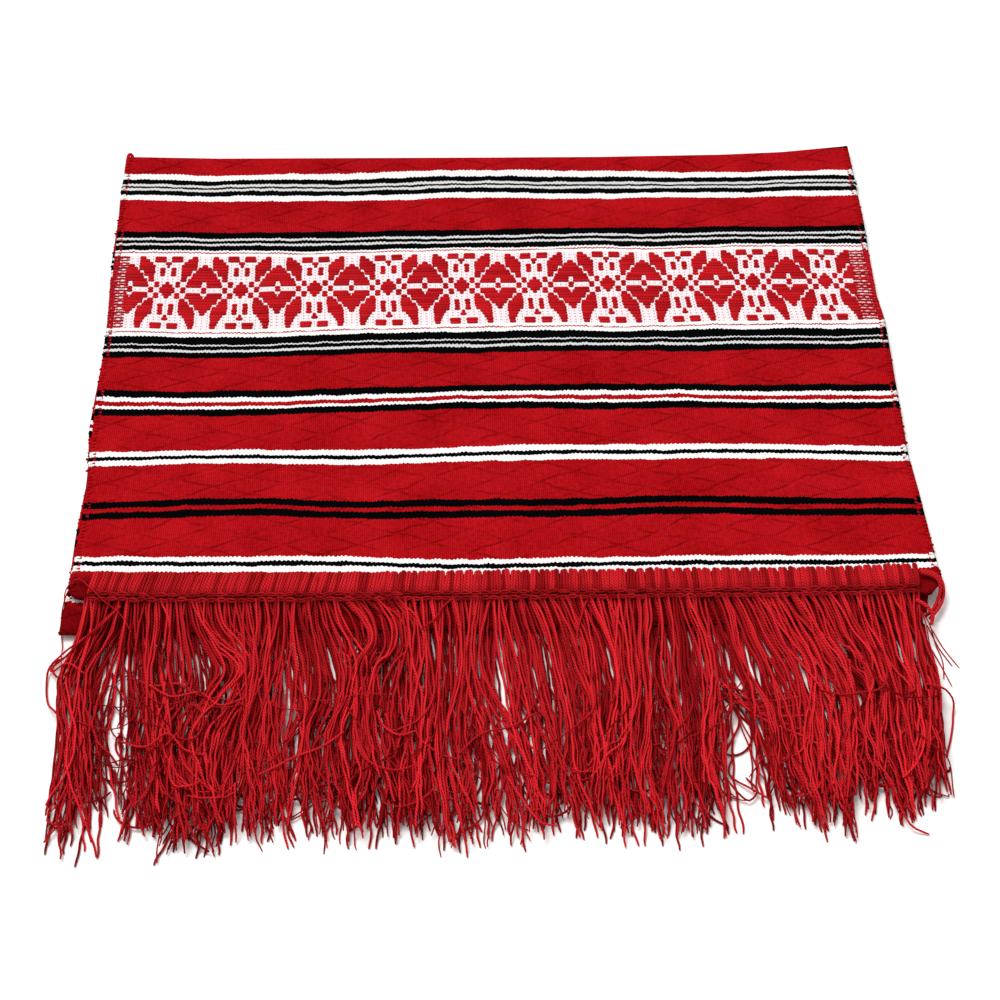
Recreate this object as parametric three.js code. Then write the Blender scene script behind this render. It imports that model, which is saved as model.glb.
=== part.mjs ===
// Folded cloth napkin: a hand-woven cloth folded in two, with a fringe trim sewn along both of its ends.
// Sizes are millimetres and +Z is up. +X runs along the fold, and +Y runs from the fringe towards the fold.
// While the pieces are made, X = 0 is the middle of the cloth and Y = 0 is the top edge of the upper trim.

import * as THREE from 'three';

const { lerp, smoothstep } = THREE.MathUtils;

// Cloth
const clothWidth = 400;
const clothThickness = 1.4;
const layerGap = 0.6;
const foldRadius = 1.9; // of the cloth's middle, round the turn
const foldEase = 16; // how far the upper layer takes to come down from the turn
const foldSteps = 8;

// Trim: a heading with a fringe hanging from it, on the cloth's right side at both ends
const headingDepth = 17;
const headingThickness = 2;
const headingLeft = -192;
const headingRight = 191;
const headingRows = 3;
const seamGap = 0.36; // between the cloth and the trim under it
const upperSeamGap = 0.5; // between the cloth and the trim on it
const fringeThickness = 2;
const fringeGap = 0.4; // between one fringe and the next, and between a fringe and its heading
const fringeBand = 3; // depth of the solid strip that the teeth hang from
const toothGap = 1.2; // the least space between two teeth
const toothTaper = 0.8; // width of a tooth's tip, as a share of its root

// Where the near ends lie
const upperHeadingTop = 0;
const lowerHeadingTop = -17;
const lowerRampTop = 6; // where the lower layer starts to rise onto the trim under it
const upperFringeSettled = -62; // where the upper fringe has come down onto the lower one

// Cloth stations, as the steps that each layer is cut into between its near end and the turn
const widthColumns = 28;
const nearRows = [0, 4, 8, 13, 18, 24, 31, 40]; // from a layer's near end
const farRows = 12; // evenly from there to the turn

// The far outline of the fold, which runs skew at the right
const foldLine = [
  { x: -200, y: 288.5 },
  { x: -150, y: 287 },
  { x: 0, y: 287.5 },
  { x: 60, y: 288 },
  { x: 128, y: 290 },
  { x: 162, y: 291.5 },
  { x: 200, y: 296.5 },
];

// The near end of each layer of cloth
const upperEnd = [
  { x: -200, y: -9 },
  { x: -188, y: -14 },
  { x: 188, y: -14.5 },
  { x: 200, y: -12 },
];
const lowerEnd = [
  { x: -200, y: -33.5 },
  { x: 60, y: -32.5 },
  { x: 160, y: -30 },
  { x: 200, y: -26.5 },
];

// How far each layer's sides stand out from the nominal width: left and right, at a place along the depth
const upperSides = [
  { y: -30, left: 0.4, right: 1.6 },
  { y: 10, left: 0.2, right: 0.6 },
  { y: 45, left: -0.6, right: -0.2 },
  { y: 73, left: -0.2, right: -1.6 },
  { y: 112, left: -0.1, right: -0.4 },
  { y: 160, left: -0.5, right: 1 },
  { y: 178, left: -0.4, right: -0.8 },
  { y: 230, left: 0.1, right: 0.6 },
  { y: 262, left: 1.2, right: 0.7 },
  { y: 300, left: -0.4, right: 0.1 },
];
const lowerSides = [
  { y: -34, left: 3.2, right: -3 },
  { y: -10, left: 2, right: -1 },
  { y: 25, left: 1.6, right: -1.4 },
  { y: 60, left: -0.5, right: -1 },
  { y: 90, left: 2, right: -1.2 },
  { y: 150, left: -0.8, right: -1.5 },
  { y: 208, left: 1.6, right: -1 },
  { y: 300, left: -0.4, right: 0.1 },
];

// Low swells in the upper layer: where, how wide and deep, and how high
const swells = [
  { x: -198, y: -16, wide: 26, deep: 20, rise: 3.4 },
  { x: 198, y: -18, wide: 24, deep: 22, rise: 4 },
  { x: -125, y: 48, wide: 34, deep: 18, rise: 1.4 },
  { x: 92, y: 60, wide: 44, deep: 20, rise: 0.9 },
  { x: -40, y: 150, wide: 60, deep: 26, rise: 0.8 },
  { x: 150, y: 190, wide: 40, deep: 30, rise: 1 },
  { x: -150, y: 225, wide: 40, deep: 26, rise: 1.1 },
  { x: 185, y: 278, wide: 30, deep: 18, rise: 1.2 },
];

// Locks of the upper fringe: where the root starts and ends, and the middle of the lock further down
const upperLocks = [
  { from: -193, to: -180, mid: -198, low: -190, tip: -187, tipY: -140 },
  { from: -180, to: -165, mid: -178, low: -176, tip: -172, tipY: -125 },
  { from: -165, to: -149, mid: -156, low: -151, tip: -150, tipY: -141 },
  { from: -149, to: -135, mid: -131, low: -134, tip: -133, tipY: -138 },
  { from: -135, to: -119, mid: -119, low: -118, tip: -118, tipY: -140 },
  { from: -119, to: -103, mid: -108, low: -106, tip: -105, tipY: -139 },
  { from: -103, to: -88, mid: -92, low: -88, tip: -88, tipY: -116 },
  { from: -88, to: -75, mid: -77, low: -76, tip: -77, tipY: -139 },
  { from: -75, to: -58, mid: -66, low: -66, tip: -66, tipY: -120 },
  { from: -58, to: -48, mid: -56, low: -56, tip: -56, tipY: -139 },
  { from: -48, to: -32, mid: -44, low: -44, tip: -44, tipY: -138 },
  { from: -32, to: -13, mid: -27, low: -26, tip: -27, tipY: -139 },
  { from: -13, to: 0, mid: -11, low: -9, tip: -8, tipY: -139 },
  { from: 0, to: 23, mid: 11, low: 12, tip: 10, tipY: -135 },
  { from: 23, to: 42, mid: 29, low: 26, tip: 26, tipY: -141 },
  { from: 42, to: 56, mid: 43, low: 40, tip: 38, tipY: -135 },
  { from: 56, to: 65, mid: 55, low: 52, tip: 50, tipY: -132 },
  { from: 65, to: 80, mid: 70, low: 73, tip: 67, tipY: -135 },
  { from: 80, to: 95, mid: 89, low: 89, tip: 82, tipY: -138 },
  { from: 95, to: 112, mid: 108, low: 109, tip: 105, tipY: -135 },
  { from: 112, to: 130, mid: 127, low: 130, tip: 124, tipY: -136 },
  { from: 130, to: 150, mid: 145, low: 149, tip: 139, tipY: -128 },
  { from: 150, to: 170, mid: 164, low: 166, tip: 156, tipY: -131 },
  { from: 170, to: 190, mid: 182, low: 182, tip: 174, tipY: -130 },
];

// Locks of the lower fringe, most of them under the upper one
const lowerLocks = [
  { from: -200, to: -185, mid: -197, low: -198, tip: -195, tipY: -143 },
  { from: -185, to: -160, mid: -174, low: -170, tip: -168, tipY: -120 },
  { from: -160, to: -130, mid: -146, low: -145, tip: -150, tipY: -148 },
  { from: -130, to: -100, mid: -117, low: -120, tip: -120, tipY: -142 },
  { from: -100, to: -70, mid: -88, low: -92, tip: -94, tipY: -135 },
  { from: -70, to: -45, mid: -58, low: -60, tip: -61, tipY: -141 },
  { from: -45, to: -20, mid: -34, low: -36, tip: -34, tipY: -142 },
  { from: -20, to: 8, mid: -6, low: -4, tip: -4, tipY: -140 },
  { from: 8, to: 35, mid: 22, low: 25, tip: 19, tipY: -139 },
  { from: 35, to: 62, mid: 50, low: 52, tip: 48, tipY: -137 },
  { from: 62, to: 90, mid: 78, low: 82, tip: 80, tipY: -136 },
  { from: 90, to: 118, mid: 106, low: 110, tip: 107, tipY: -138 },
  { from: 118, to: 148, mid: 136, low: 140, tip: 135, tipY: -136 },
  { from: 148, to: 175, mid: 164, low: 167, tip: 163, tipY: -132 },
  { from: 175, to: 197, mid: 190, low: 191, tip: 187, tipY: -128 },
];
const midShare = 0.4; // where a lock's mid and low stand, as shares of its length
const lowShare = 0.72;
const lockShares = [1, 0.86, lowShare, 0.56, midShare, 0.2];

const clothRed = '#ab0f14';
const yarnRed = '#c2161d';

// The value of one column of a table, read between its rows
function readTable(table, input, at, output) {
  const last = table.length - 1;
  let row = 1;
  while (row < last && table[row][input] < at) row += 1;
  const before = table[row - 1];
  const after = table[row];
  const share = THREE.MathUtils.clamp((at - before[input]) / (after[input] - before[input]), 0, 1);
  return lerp(before[output], after[output], share);
}

// Height of the middle of the cloth's lower layer, which rises onto the trim sewn under its end
function lowerHeight(y) {
  const rise = (headingThickness + seamGap) * (1 - smoothstep(y, lowerHeadingTop, lowerRampTop));
  return clothThickness / 2 + rise;
}

// Height of the middle of the cloth's upper layer, which follows the lower one
function upperHeight(x, y) {
  let height = lowerHeight(y) + clothThickness + layerGap;
  for (const swell of swells) {
    const across = (x - swell.x) / swell.wide;
    const along = (y - swell.y) / swell.deep;
    height += swell.rise * Math.exp(-(across * across + along * along) / 2);
  }
  return height;
}

// The cloth's section at one place along the fold, from the lower layer's end round to the upper layer's
function clothSection(x) {
  const section = [];
  const turnY = readTable(foldLine, 'x', x, 'y') - foldRadius - clothThickness / 2;
  const layers = [readTable(lowerEnd, 'x', x, 'y'), readTable(upperEnd, 'x', x, 'y')];
  const stations = layers.map((endY) => {
    const ys = nearRows.map((offset) => endY + offset);
    const start = ys[ys.length - 1];
    for (let row = 1; row < farRows; row += 1) ys.push(lerp(start, turnY, row / farRows));
    return ys;
  });
  for (const y of stations[0]) section.push({ y, z: lowerHeight(y), layer: 'lower' });
  for (let step = 0; step <= foldSteps; step += 1) {
    const angle = Math.PI * (step / foldSteps - 0.5);
    section.push({
      y: turnY + foldRadius * Math.cos(angle),
      z: clothThickness / 2 + foldRadius * (1 + Math.sin(angle)),
      layer: step < foldSteps / 2 ? 'lower' : 'upper',
    });
  }
  for (const y of stations[1].reverse()) {
    const z = lerp(upperHeight(x, y), clothThickness / 2 + 2 * foldRadius, smoothstep(y, turnY - foldEase, turnY));
    section.push({ y, z, layer: 'upper' });
  }
  return section;
}

// A closed sheet between two faces. pointAt(column, row, side) gives a point of the face on side 1 or -1,
// where side 1 looks along column direction cross row direction. filled(column, row) keeps a cell.
function sheetSolid(columns, rows, pointAt, filled = () => true) {
  const positions = [];
  const index = [];
  const known = new Map();
  const has = (column, row) => (
    column >= 0 && column < columns && row >= 0 && row < rows && filled(column, row)
  );
  const vertex = (column, row, side) => {
    const key = `${column} ${row} ${side}`;
    if (!known.has(key)) {
      known.set(key, known.size);
      positions.push(...pointAt(column, row, side).toArray());
    }
    return known.get(key);
  };
  const quad = (a, b, c, d) => index.push(a, b, c, a, c, d);
  const wall = (fromColumn, fromRow, toColumn, toRow) => quad(
    vertex(fromColumn, fromRow, -1),
    vertex(toColumn, toRow, -1),
    vertex(toColumn, toRow, 1),
    vertex(fromColumn, fromRow, 1),
  );
  for (let column = 0; column < columns; column += 1) {
    for (let row = 0; row < rows; row += 1) {
      if (!has(column, row)) continue;
      const corners = [[column, row], [column + 1, row], [column + 1, row + 1], [column, row + 1]];
      quad(...corners.map(([c, r]) => vertex(c, r, 1)));
      quad(...corners.reverse().map(([c, r]) => vertex(c, r, -1)));
      if (!has(column, row - 1)) wall(column, row, column + 1, row);
      if (!has(column + 1, row)) wall(column + 1, row, column + 1, row + 1);
      if (!has(column, row + 1)) wall(column + 1, row + 1, column, row + 1);
      if (!has(column - 1, row)) wall(column, row + 1, column, row);
    }
  }
  const geometry = new THREE.BufferGeometry();
  geometry.setAttribute('position', new THREE.Float32BufferAttribute(positions, 3));
  geometry.setIndex(index);
  geometry.computeVertexNormals();
  return geometry;
}

function makeMesh(name, geometry, color, roughness) {
  const mesh = new THREE.Mesh(geometry, new THREE.MeshStandardMaterial({ color, roughness, metalness: 0 }));
  mesh.name = name;
  return mesh;
}

// The folded cloth is one sheet: each column of its grid is one section
function makeCloth() {
  const sections = [];
  for (let column = 0; column <= widthColumns; column += 1) {
    const share = column / widthColumns;
    const section = clothSection(lerp(-clothWidth / 2, clothWidth / 2, share));
    for (const point of section) {
      const sides = point.layer === 'lower' ? lowerSides : upperSides;
      const left = -clothWidth / 2 - readTable(sides, 'y', point.y, 'left');
      const right = clothWidth / 2 + readTable(sides, 'y', point.y, 'right');
      point.x = lerp(left, right, share);
    }
    sections.push(section);
  }
  const rows = sections[0].length - 1;
  const pointAt = (column, row, side) => {
    const section = sections[column];
    const here = section[row];
    const before = section[Math.max(row - 1, 0)];
    const after = section[Math.min(row + 1, rows)];
    const outwards = new THREE.Vector2(before.z - after.z, after.y - before.y).normalize();
    const offset = side * clothThickness / 2;
    return new THREE.Vector3(here.x, here.y + outwards.x * offset, here.z + outwards.y * offset);
  };
  return makeMesh('cloth', sheetSolid(widthColumns, rows, pointAt), clothRed, 0.9);
}

// Columns of the cloth that a heading covers, with the heading's own two ends
function headingColumns() {
  const step = clothWidth / widthColumns;
  const xs = [headingLeft];
  for (let x = -clothWidth / 2 + step; x < clothWidth / 2; x += step) {
    if (x > headingLeft + 1 && x < headingRight - 1) xs.push(x);
  }
  xs.push(headingRight);
  return xs;
}

// A heading: a flat band that follows the cloth it is sewn to
function makeHeading(name, topY, middleHeight) {
  const xs = headingColumns();
  const pointAt = (column, row, side) => {
    const y = topY - headingDepth * (1 - row / headingRows);
    return new THREE.Vector3(xs[column], y, middleHeight(xs[column], y) + side * headingThickness / 2);
  };
  return makeMesh(name, sheetSolid(xs.length - 1, headingRows, pointAt), yarnRed, 0.85);
}

function upperHeadingHeight(x, y) {
  return upperHeight(x, y) + (clothThickness + headingThickness) / 2 + upperSeamGap;
}

// Where each lock's middle and half width lie at a share of its length, clear of its neighbours
function toothSections(locks, rootY) {
  const centre = (lock, share) => {
    const root = (lock.from + lock.to) / 2;
    if (share < midShare) return lerp(root, lock.mid, smoothstep(share, 0, midShare));
    if (share < lowShare) return lerp(lock.mid, lock.low, (share - midShare) / (lowShare - midShare));
    return lerp(lock.low, lock.tip, (share - lowShare) / (1 - lowShare));
  };
  return locks.map((lock, index) => [...lockShares, 0].map((share) => {
    const middle = centre(lock, share);
    const neighbours = [locks[index - 1], locks[index + 1]].filter(Boolean);
    const room = Math.min(...neighbours.map((other) => Math.abs(centre(other, share) - middle)));
    const wanted = (lock.to - lock.from - toothGap) / 2 * lerp(1, toothTaper, share);
    const half = Math.min(wanted, (room - toothGap) / 2);
    return { y: lerp(rootY - fringeBand, lock.tipY, share), left: middle - half, right: middle + half };
  }));
}

// A fringe is one comb: a band along the heading, and a tooth for each lock
function makeFringe(name, locks, rootY, middleHeight) {
  const teeth = toothSections(locks, rootY);
  const bandRow = lockShares.length;
  const pointAt = (column, row, side) => {
    const tooth = teeth[Math.floor(column / 2)];
    const section = tooth[Math.min(row, bandRow)];
    const x = column % 2 === 0 ? section.left : section.right;
    const y = row > bandRow ? rootY : section.y;
    return new THREE.Vector3(x, y, middleHeight(x, y) + side * fringeThickness / 2);
  };
  const filled = (column, row) => column % 2 === 0 || row === bandRow;
  const columns = 2 * locks.length - 1;
  return makeMesh(name, sheetSolid(columns, bandRow + 1, pointAt, filled), yarnRed, 0.85);
}

const upperFringeTop = upperHeadingTop - headingDepth - fringeGap;
const lowerFringeTop = lowerHeadingTop - headingDepth - fringeGap;
const lyingHeight = fringeThickness + fringeGap + fringeThickness / 2;

// The upper fringe leaves its heading and comes down over the lower layer's end onto the lower fringe
function upperFringeHeight(x, y) {
  const fallen = 1 - smoothstep(y, upperFringeSettled, upperFringeTop);
  return lerp(upperHeadingHeight(x, upperFringeTop), lyingHeight, fallen);
}

const napkin = new THREE.Group();
napkin.add(makeCloth());
napkin.add(makeHeading('heading_upper', upperHeadingTop, upperHeadingHeight));
napkin.add(makeHeading('heading_lower', lowerHeadingTop, () => headingThickness / 2));
napkin.add(makeFringe('fringe_upper', upperLocks, upperFringeTop, upperFringeHeight));
napkin.add(makeFringe('fringe_lower', lowerLocks, lowerFringeTop, () => fringeThickness / 2));

// The part stands on Z = 0 with the middle of its outline at the origin
const outline = new THREE.Box3().setFromObject(napkin);
const middle = outline.getCenter(new THREE.Vector3());
napkin.position.set(-middle.x, -middle.y, -outline.min.z);

export default napkin;
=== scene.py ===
import math
import random

import bpy
import numpy as np
from mathutils import Matrix, Vector


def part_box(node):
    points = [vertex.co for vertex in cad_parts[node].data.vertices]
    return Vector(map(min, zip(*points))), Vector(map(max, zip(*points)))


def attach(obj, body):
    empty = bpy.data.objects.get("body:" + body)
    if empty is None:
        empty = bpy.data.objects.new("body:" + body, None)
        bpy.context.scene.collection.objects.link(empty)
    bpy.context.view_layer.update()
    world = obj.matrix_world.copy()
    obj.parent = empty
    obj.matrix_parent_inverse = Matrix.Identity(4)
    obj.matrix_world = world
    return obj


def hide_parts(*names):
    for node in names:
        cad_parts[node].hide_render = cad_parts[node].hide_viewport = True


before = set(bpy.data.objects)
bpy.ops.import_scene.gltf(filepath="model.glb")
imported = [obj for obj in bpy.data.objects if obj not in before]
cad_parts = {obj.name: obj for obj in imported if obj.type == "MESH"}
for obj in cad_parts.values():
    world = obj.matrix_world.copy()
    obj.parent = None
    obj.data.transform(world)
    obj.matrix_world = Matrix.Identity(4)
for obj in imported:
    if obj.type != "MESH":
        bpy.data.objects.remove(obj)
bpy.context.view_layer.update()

# A hand-woven napkin lying folded in two, with a fringe trim on both of its ends.
# Places are in millimetres from the trim, as part of the frame: x = 0 is the middle of the cloth,
# y = 0 the top edge of the upper heading, and y grows towards the fold. toWorld turns them into metres.
mm = 0.001
headingLeft = -192
headingLow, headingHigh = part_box("heading_upper")
frameShift = np.array([headingLow[0] / mm - headingLeft, headingHigh[1] / mm, 0])

cloth = {
    "width": 400,
    "length": 625,
    "thickness": 1.2,
    "lowerMiddle": 1.12,  # height of the lower layer's middle, which leaves room for the floats under it
    "lowerRaised": 2.7,  # the same where it lies on the trim sewn under its end
    "upperMiddle": 2.65,
    "upperRaised": 4.3,
    "rampFrom": -17,
    "rampTo": 6,
    "turnRadius": 1.78,
    "turnTop": 4.5,
    "turnEase": 16,
    "columns": 120,
    "upperRows": 96,
    "turnRows": 10,
    "lowerRows": 32,
    # x and y of the far outline of the fold, which runs skew at the right
    "foldLine": [(-200, 288), (-150, 286.4), (0, 286.7), (60, 287), (128, 288.6), (162, 290.6), (200, 295.6)],
    # x and y of the near end of each layer
    "upperEnd": [
        (-200, -13), (-196, -17), (-190, -17), (-187, -14), (184, -14.5), (188, -20), (193, -19), (197, -14),
        (200, -12),
    ],
    "lowerEnd": [(-200, -33.5), (60, -32.5), (160, -30), (200, -26.5)],
    # y, and how far the left and the right side stand out from the nominal width
    "upperSides": [
        (-30, 0.4, 1.6), (10, 0.2, 0.6), (45, -0.6, -0.2), (73, -0.2, -1.6), (112, -0.1, -0.4),
        (160, -0.5, 1), (178, -0.4, -0.8), (230, 0.1, 0.6), (262, 1.2, 0.7), (300, -0.4, 0.1),
    ],
    "lowerSides": [
        (-34, 3.2, -10), (-16, 2.4, -6), (-4, 1.8, -1.6), (25, 1.6, -1.4), (60, -0.5, -1), (90, 2, -1.2),
        (150, -0.8, -1.5), (208, 1.6, -1), (300, -0.4, 0.1),
    ],
    # x, y, half width, half depth and rise of the low swells in the upper layer
    "swells": [
        (-198, -16, 26, 20, 2.4), (198, -18, 24, 22, 1.8), (-125, 48, 34, 18, 1.4), (92, 60, 44, 20, 0.9),
        (-40, 150, 60, 26, 0.8), (150, 190, 40, 30, 1), (-150, 225, 40, 26, 1.1), (185, 278, 30, 18, 1.2),
    ],
    # wavelength across and along, and height, of the cockling that a loose weave keeps
    "cockles": [(61, 47, 0.22), (37, -29, 0.16), (23, 83, 0.12), (-91, 31, 0.18)],
}

# Every stripe, from the middle of the cloth out to its end: its colour and where it stops
# Both halves of the cloth are alike, and the widest white stripe holds the motifs. Grey is white thinned by the
# black weft on both its sides.
stripes = [
    ("black", 1.9), ("red", 20.0), ("white", 24.5), ("black", 28.2), ("grey", 30.1), ("black", 31.8),
    ("grey", 33.8), ("black", 37.6), ("white", 41.8), ("red", 67.1), ("black", 71.6), ("grey", 73.1),
    ("black", 75.5), ("grey", 77.2), ("black", 81.1), ("white", 142.6), ("black", 147.3), ("grey", 148.2),
    ("black", 150.8), ("grey", 152.5), ("black", 156.9), ("red", 181.6), ("black", 185.1), ("white", 188.2),
    ("red", 190.3), ("white", 192.6), ("black", 196.5), ("red", 220.0), ("white", 223.4), ("black", 225.8),
    ("white", 229.0), ("red", 253.4), ("black", 257.9), ("red", 260.3), ("black", 264.4), ("red", 288.4),
    ("white", 291.5), ("black", 294.1), ("white", 297.0), ("red", 313.0),
]
weave = {
    "foldAt": 288,  # y where the woven length is counted from
    "middle": -8.5,  # woven length at the middle of the cloth, just past the fold
    "pick": 2.06,  # one tooth of a stripe's edge, two warp ends
    "bandFrom": 85.8,
    "bandTo": 137.2,
    "edgeLines": (83.0, 140.0),  # thin red lines that close the band
    "parting": 100,  # where the first of the material's two ramps of stripes ends
    "partingStripeTo": 145,  # just past the stripe that lies over that place
    "reach": 320,
    # how far the stripes wander from straight, at places across (x) and at woven lengths
    "driftAcross": (-190, -150, -110, -70, -30, 10, 50, 90, 130, 170, 200),
    "drift": [
        (10, (-1.7, -4.4, -2.9, -2.3, 0, -0.2, -1.2, -1.3, -2.3, -2.5, -2)),
        (32, (-1.3, -3.1, -2.5, -1.9, -0.5, 0.1, -1, -0.5, -0.6, 0, 0.5)),
        (58, (-1, -2.8, -2.3, -1.5, 0.3, 0.1, 1.2, 1, 1.5, 1.5, 2)),
        (100, (-1.5, -3.2, -2.5, -1.6, -0.5, 0, 0.6, 0.4, 0.8, 1, 1.2)),
        (148, (-2, -3.7, -2.7, -1.7, -1.3, -0.3, 0.1, -0.3, 0.1, 0.4, 0.8)),
        (173, (0.2, -1.5, -1.2, 0.4, 0.7, 1.7, 2, 1.6, 0.5, 0.1, 0.4)),
        (188, (-2, -2.4, -2.1, -0.5, 0.4, 1.3, 0.2, 0.5, -0.6, -1, -0.5)),
        (216, (-2, -1.8, -1.9, -2.6, -0.8, 0, -0.4, -0.3, -0.7, -1.8, -2.5)),
        (250, (0.2, 1.5, 1, -1, 0, 0, 0, 0.8, -0.4, -1.5, -1.6)),
        (278, (1.9, 2, 2, 1.4, -0.8, -0.7, 0, 0, -0.5, -1, -0.7)),
        (297, (0.6, 0.5, 0.9, 0.2, -2, -2.1, -1.2, -1.3, -1.8, -2.2, -2)),
    ],
}


def toWorld(points):
    return (np.asarray(points, float) + frameShift) * mm


def smoothstep(x, low, high):
    t = np.clip((x - low) / (high - low), 0, 1)
    return t * t * (3 - 2 * t)


def readTable(table, at, column=1):
    return np.interp(at, [row[0] for row in table], [row[column] for row in table])


def driftAt(x, length):
    rows = [np.interp(x, weave["driftAcross"], row[1]) for row in weave["drift"]]
    lengths = [row[0] for row in weave["drift"]]
    place = np.interp(length, lengths, range(len(lengths)))
    below = np.clip(place.astype(int), 0, len(rows) - 2)
    stacked = np.stack(rows)
    columns = np.arange(len(place))
    share = place - below
    return stacked[below, columns] * (1 - share) + stacked[below + 1, columns] * share


def layerHeight(y, layer):
    rise = 1 - smoothstep(y, cloth["rampFrom"], cloth["rampTo"])
    return cloth[layer + "Middle"] + (cloth[layer + "Raised"] - cloth[layer + "Middle"]) * rise


def upperHeight(x, y):
    height = layerHeight(y, "upper")
    for swellX, swellY, wide, deep, rise in cloth["swells"]:
        height = height + rise * np.exp(-(((x - swellX) / wide) ** 2 + ((y - swellY) / deep) ** 2) / 2)
    settled = smoothstep(y, -5, 12)
    for across, along, rise in cloth["cockles"]:
        phase = x / across * 2 * math.pi / 1.6 + y / along * 2 * math.pi / 1.6
        height = height + settled * rise * np.sin(phase)
    return height


def turnPlace(x):
    return readTable(cloth["foldLine"], x) - cloth["turnRadius"] - cloth["thickness"] / 2


def sideways(x, y, sides):
    left = -cloth["width"] / 2 - readTable(sides, y, 1)
    right = cloth["width"] / 2 + readTable(sides, y, 2)
    return left + (right - left) * (x / cloth["width"] + 0.5)


# Place, woven length and height of points on the upper layer, given x and y
def upperSheet(x, y):
    turn = turnPlace(x)
    straight = weave["foldAt"] - y
    length = straight + driftAt(x, straight)
    ease = smoothstep(y, turn - cloth["turnEase"], turn)
    z = upperHeight(x, y) * (1 - ease) + cloth["turnTop"] * ease
    return sideways(x, y, cloth["upperSides"]), y, z, length


def lengthAtTurn(x):
    straight = weave["foldAt"] - turnPlace(x)
    return straight + driftAt(x, straight)


def lowerSheet(x, y):
    length = lengthAtTurn(x) - math.pi * cloth["turnRadius"] - (turnPlace(x) - y)
    return sideways(x, y, cloth["lowerSides"]), y, layerHeight(y, "lower"), length


# The same, given x and a woven length: where a thread of the weave runs
def threadPlace(x, length, layer):
    if layer == "lower":
        y = turnPlace(x) - (lengthAtTurn(x) - math.pi * cloth["turnRadius"] - length)
        return lowerSheet(x, y)
    y = weave["foldAt"] - length
    for _ in range(4):
        y = weave["foldAt"] - length + driftAt(x, weave["foldAt"] - y)
    return upperSheet(x, y)


# Adds a node with its settings, and sets or links its inputs. A node given as an input stands for its first
# output.
def addNode(tree, kind, inputs=(), **settings):
    node = tree.nodes.new(kind)
    for name, value in settings.items():
        setattr(node, name, value)
    for key, value in dict(inputs).items():
        if isinstance(value, bpy.types.Node):
            value = value.outputs[0]
        if isinstance(value, bpy.types.NodeSocket):
            tree.links.new(value, node.inputs[key])
        else:
            node.inputs[key].default_value = value
    return node


def linear(hexColour):
    channels = [int(hexColour[i:i + 2], 16) / 255 for i in (1, 3, 5)]
    return [c / 12.92 if c <= 0.04045 else ((c + 0.055) / 1.055) ** 2.4 for c in channels] + [1]


def addObject(name, data):
    made = bpy.data.objects.new(name, data)
    bpy.context.scene.collection.objects.link(made)
    return made


def makeMesh(name, points, faces=(), edges=()):
    mesh = bpy.data.meshes.new(name)
    mesh.from_pydata(points.tolist() if hasattr(points, "tolist") else points, edges, faces)
    mesh.update()
    return addObject(name, mesh)


# Stores a number or a vector on every point of a mesh
def storeOnPoints(made, label, values):
    values = np.asarray(values, np.float32)
    kind, field = ("FLOAT", "value") if values.ndim == 1 else ("FLOAT_VECTOR", "vector")
    made.data.attributes.new(label, kind, "POINT").data.foreach_set(field, values.ravel())


def emptyMaterial(name):
    material = bpy.data.materials.new(name)
    material.use_nodes = True
    material.node_tree.nodes.clear()
    return material


# Material of the cloth: hand-woven, weft-faced cotton and wool. The weft hides the warp, so each stripe is a
# solid colour with toothed edges, a matt face and a fine grain of small weft bumps.
clothLooks = {
    "redDark": "#8a0409",
    "redBright": "#bb151d",
    "white": "#ebe9e8",
    "bandWhite": "#ecdde0",  # the red weft of the motifs shows through it
    "black": "#030506",
    "pinkDot": "#86525f",
    "dotHalf": (0.42, 0.3),  # half a dot's size, across and along
    "dotShare": 0.8,
    "lineRed": "#a01826",
    "lineHalf": 0.42,  # half the width of a thin red line beside the band
    "tooth": 0.22,
    "wander": 0.55,
    "rib": 0.98,
    "diamondWide": 40,
    "diamondDeep": 13,
    "grooveShare": 0.1,
    "grooveBend": 0.5,
    "grooveShade": 0.16,
    "grooveDepth": 3.0,
    "bumpDepth": 0.35,
    # noise patterns, their scale in changes a millimetre
    "noises": {
        "tooth": {"Scale": 0.13, "Detail": 1},
        "wander": {"Scale": 0.13, "Detail": 2.5},
        "groove": {"Scale": 0.05, "Detail": 4, "Roughness": 0.6},
        "broken": {"Scale": 0.07, "Detail": 2},
        "dye": {"Scale": 0.5, "Detail": 4, "Roughness": 0.75},
        "patches": {"Scale": 0.04, "Detail": 2},
    },
    "endFrom": 297.5,  # painted shade: the end under the trim, which lies in shade, is painted darker
    "endTo": 303,
    "endShade": 0.45,
    "hemFrom": 311.5,  # painted shade, darker still, on the hem past the corners of the trim, which curls over
    "hemEase": 3,
    "hemShade": 0.4,
    "underFrom": 286,  # painted shade: the top of the lower layer is mixed towards a dark red here, between the two trims
    "underEase": 6,
    "underTo": 298,
    "underHalf": 188,
    # painted shade: the dark red mixed onto the top of the lower layer under the trims
    "underRed": "#2a0408",
    "selvedgeFrom": 196.7,
    "selvedgeTo": 198.3,
    "rimFrom": 198.9,  # past this the sides of the band are red, where its red weft turns back
}


def fillStripes(ramp, table, start, end):
    flags = {"red": (1, 0, 0, 1), "white": (0, 1, 0, 1), "grey": (0, 0.74, 0, 1), "black": (0, 0, 1, 1)}
    ramp.interpolation = "CONSTANT"
    edge = start
    first = True
    for colour, stop in table:
        if stop <= start:
            continue
        place = (edge - start) / (end - start)
        element = ramp.elements[0] if first else ramp.elements.new(place)
        element.position = place
        element.color = flags[colour]
        first = False
        edge = stop
    ramp.elements.remove(ramp.elements[-1])


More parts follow.
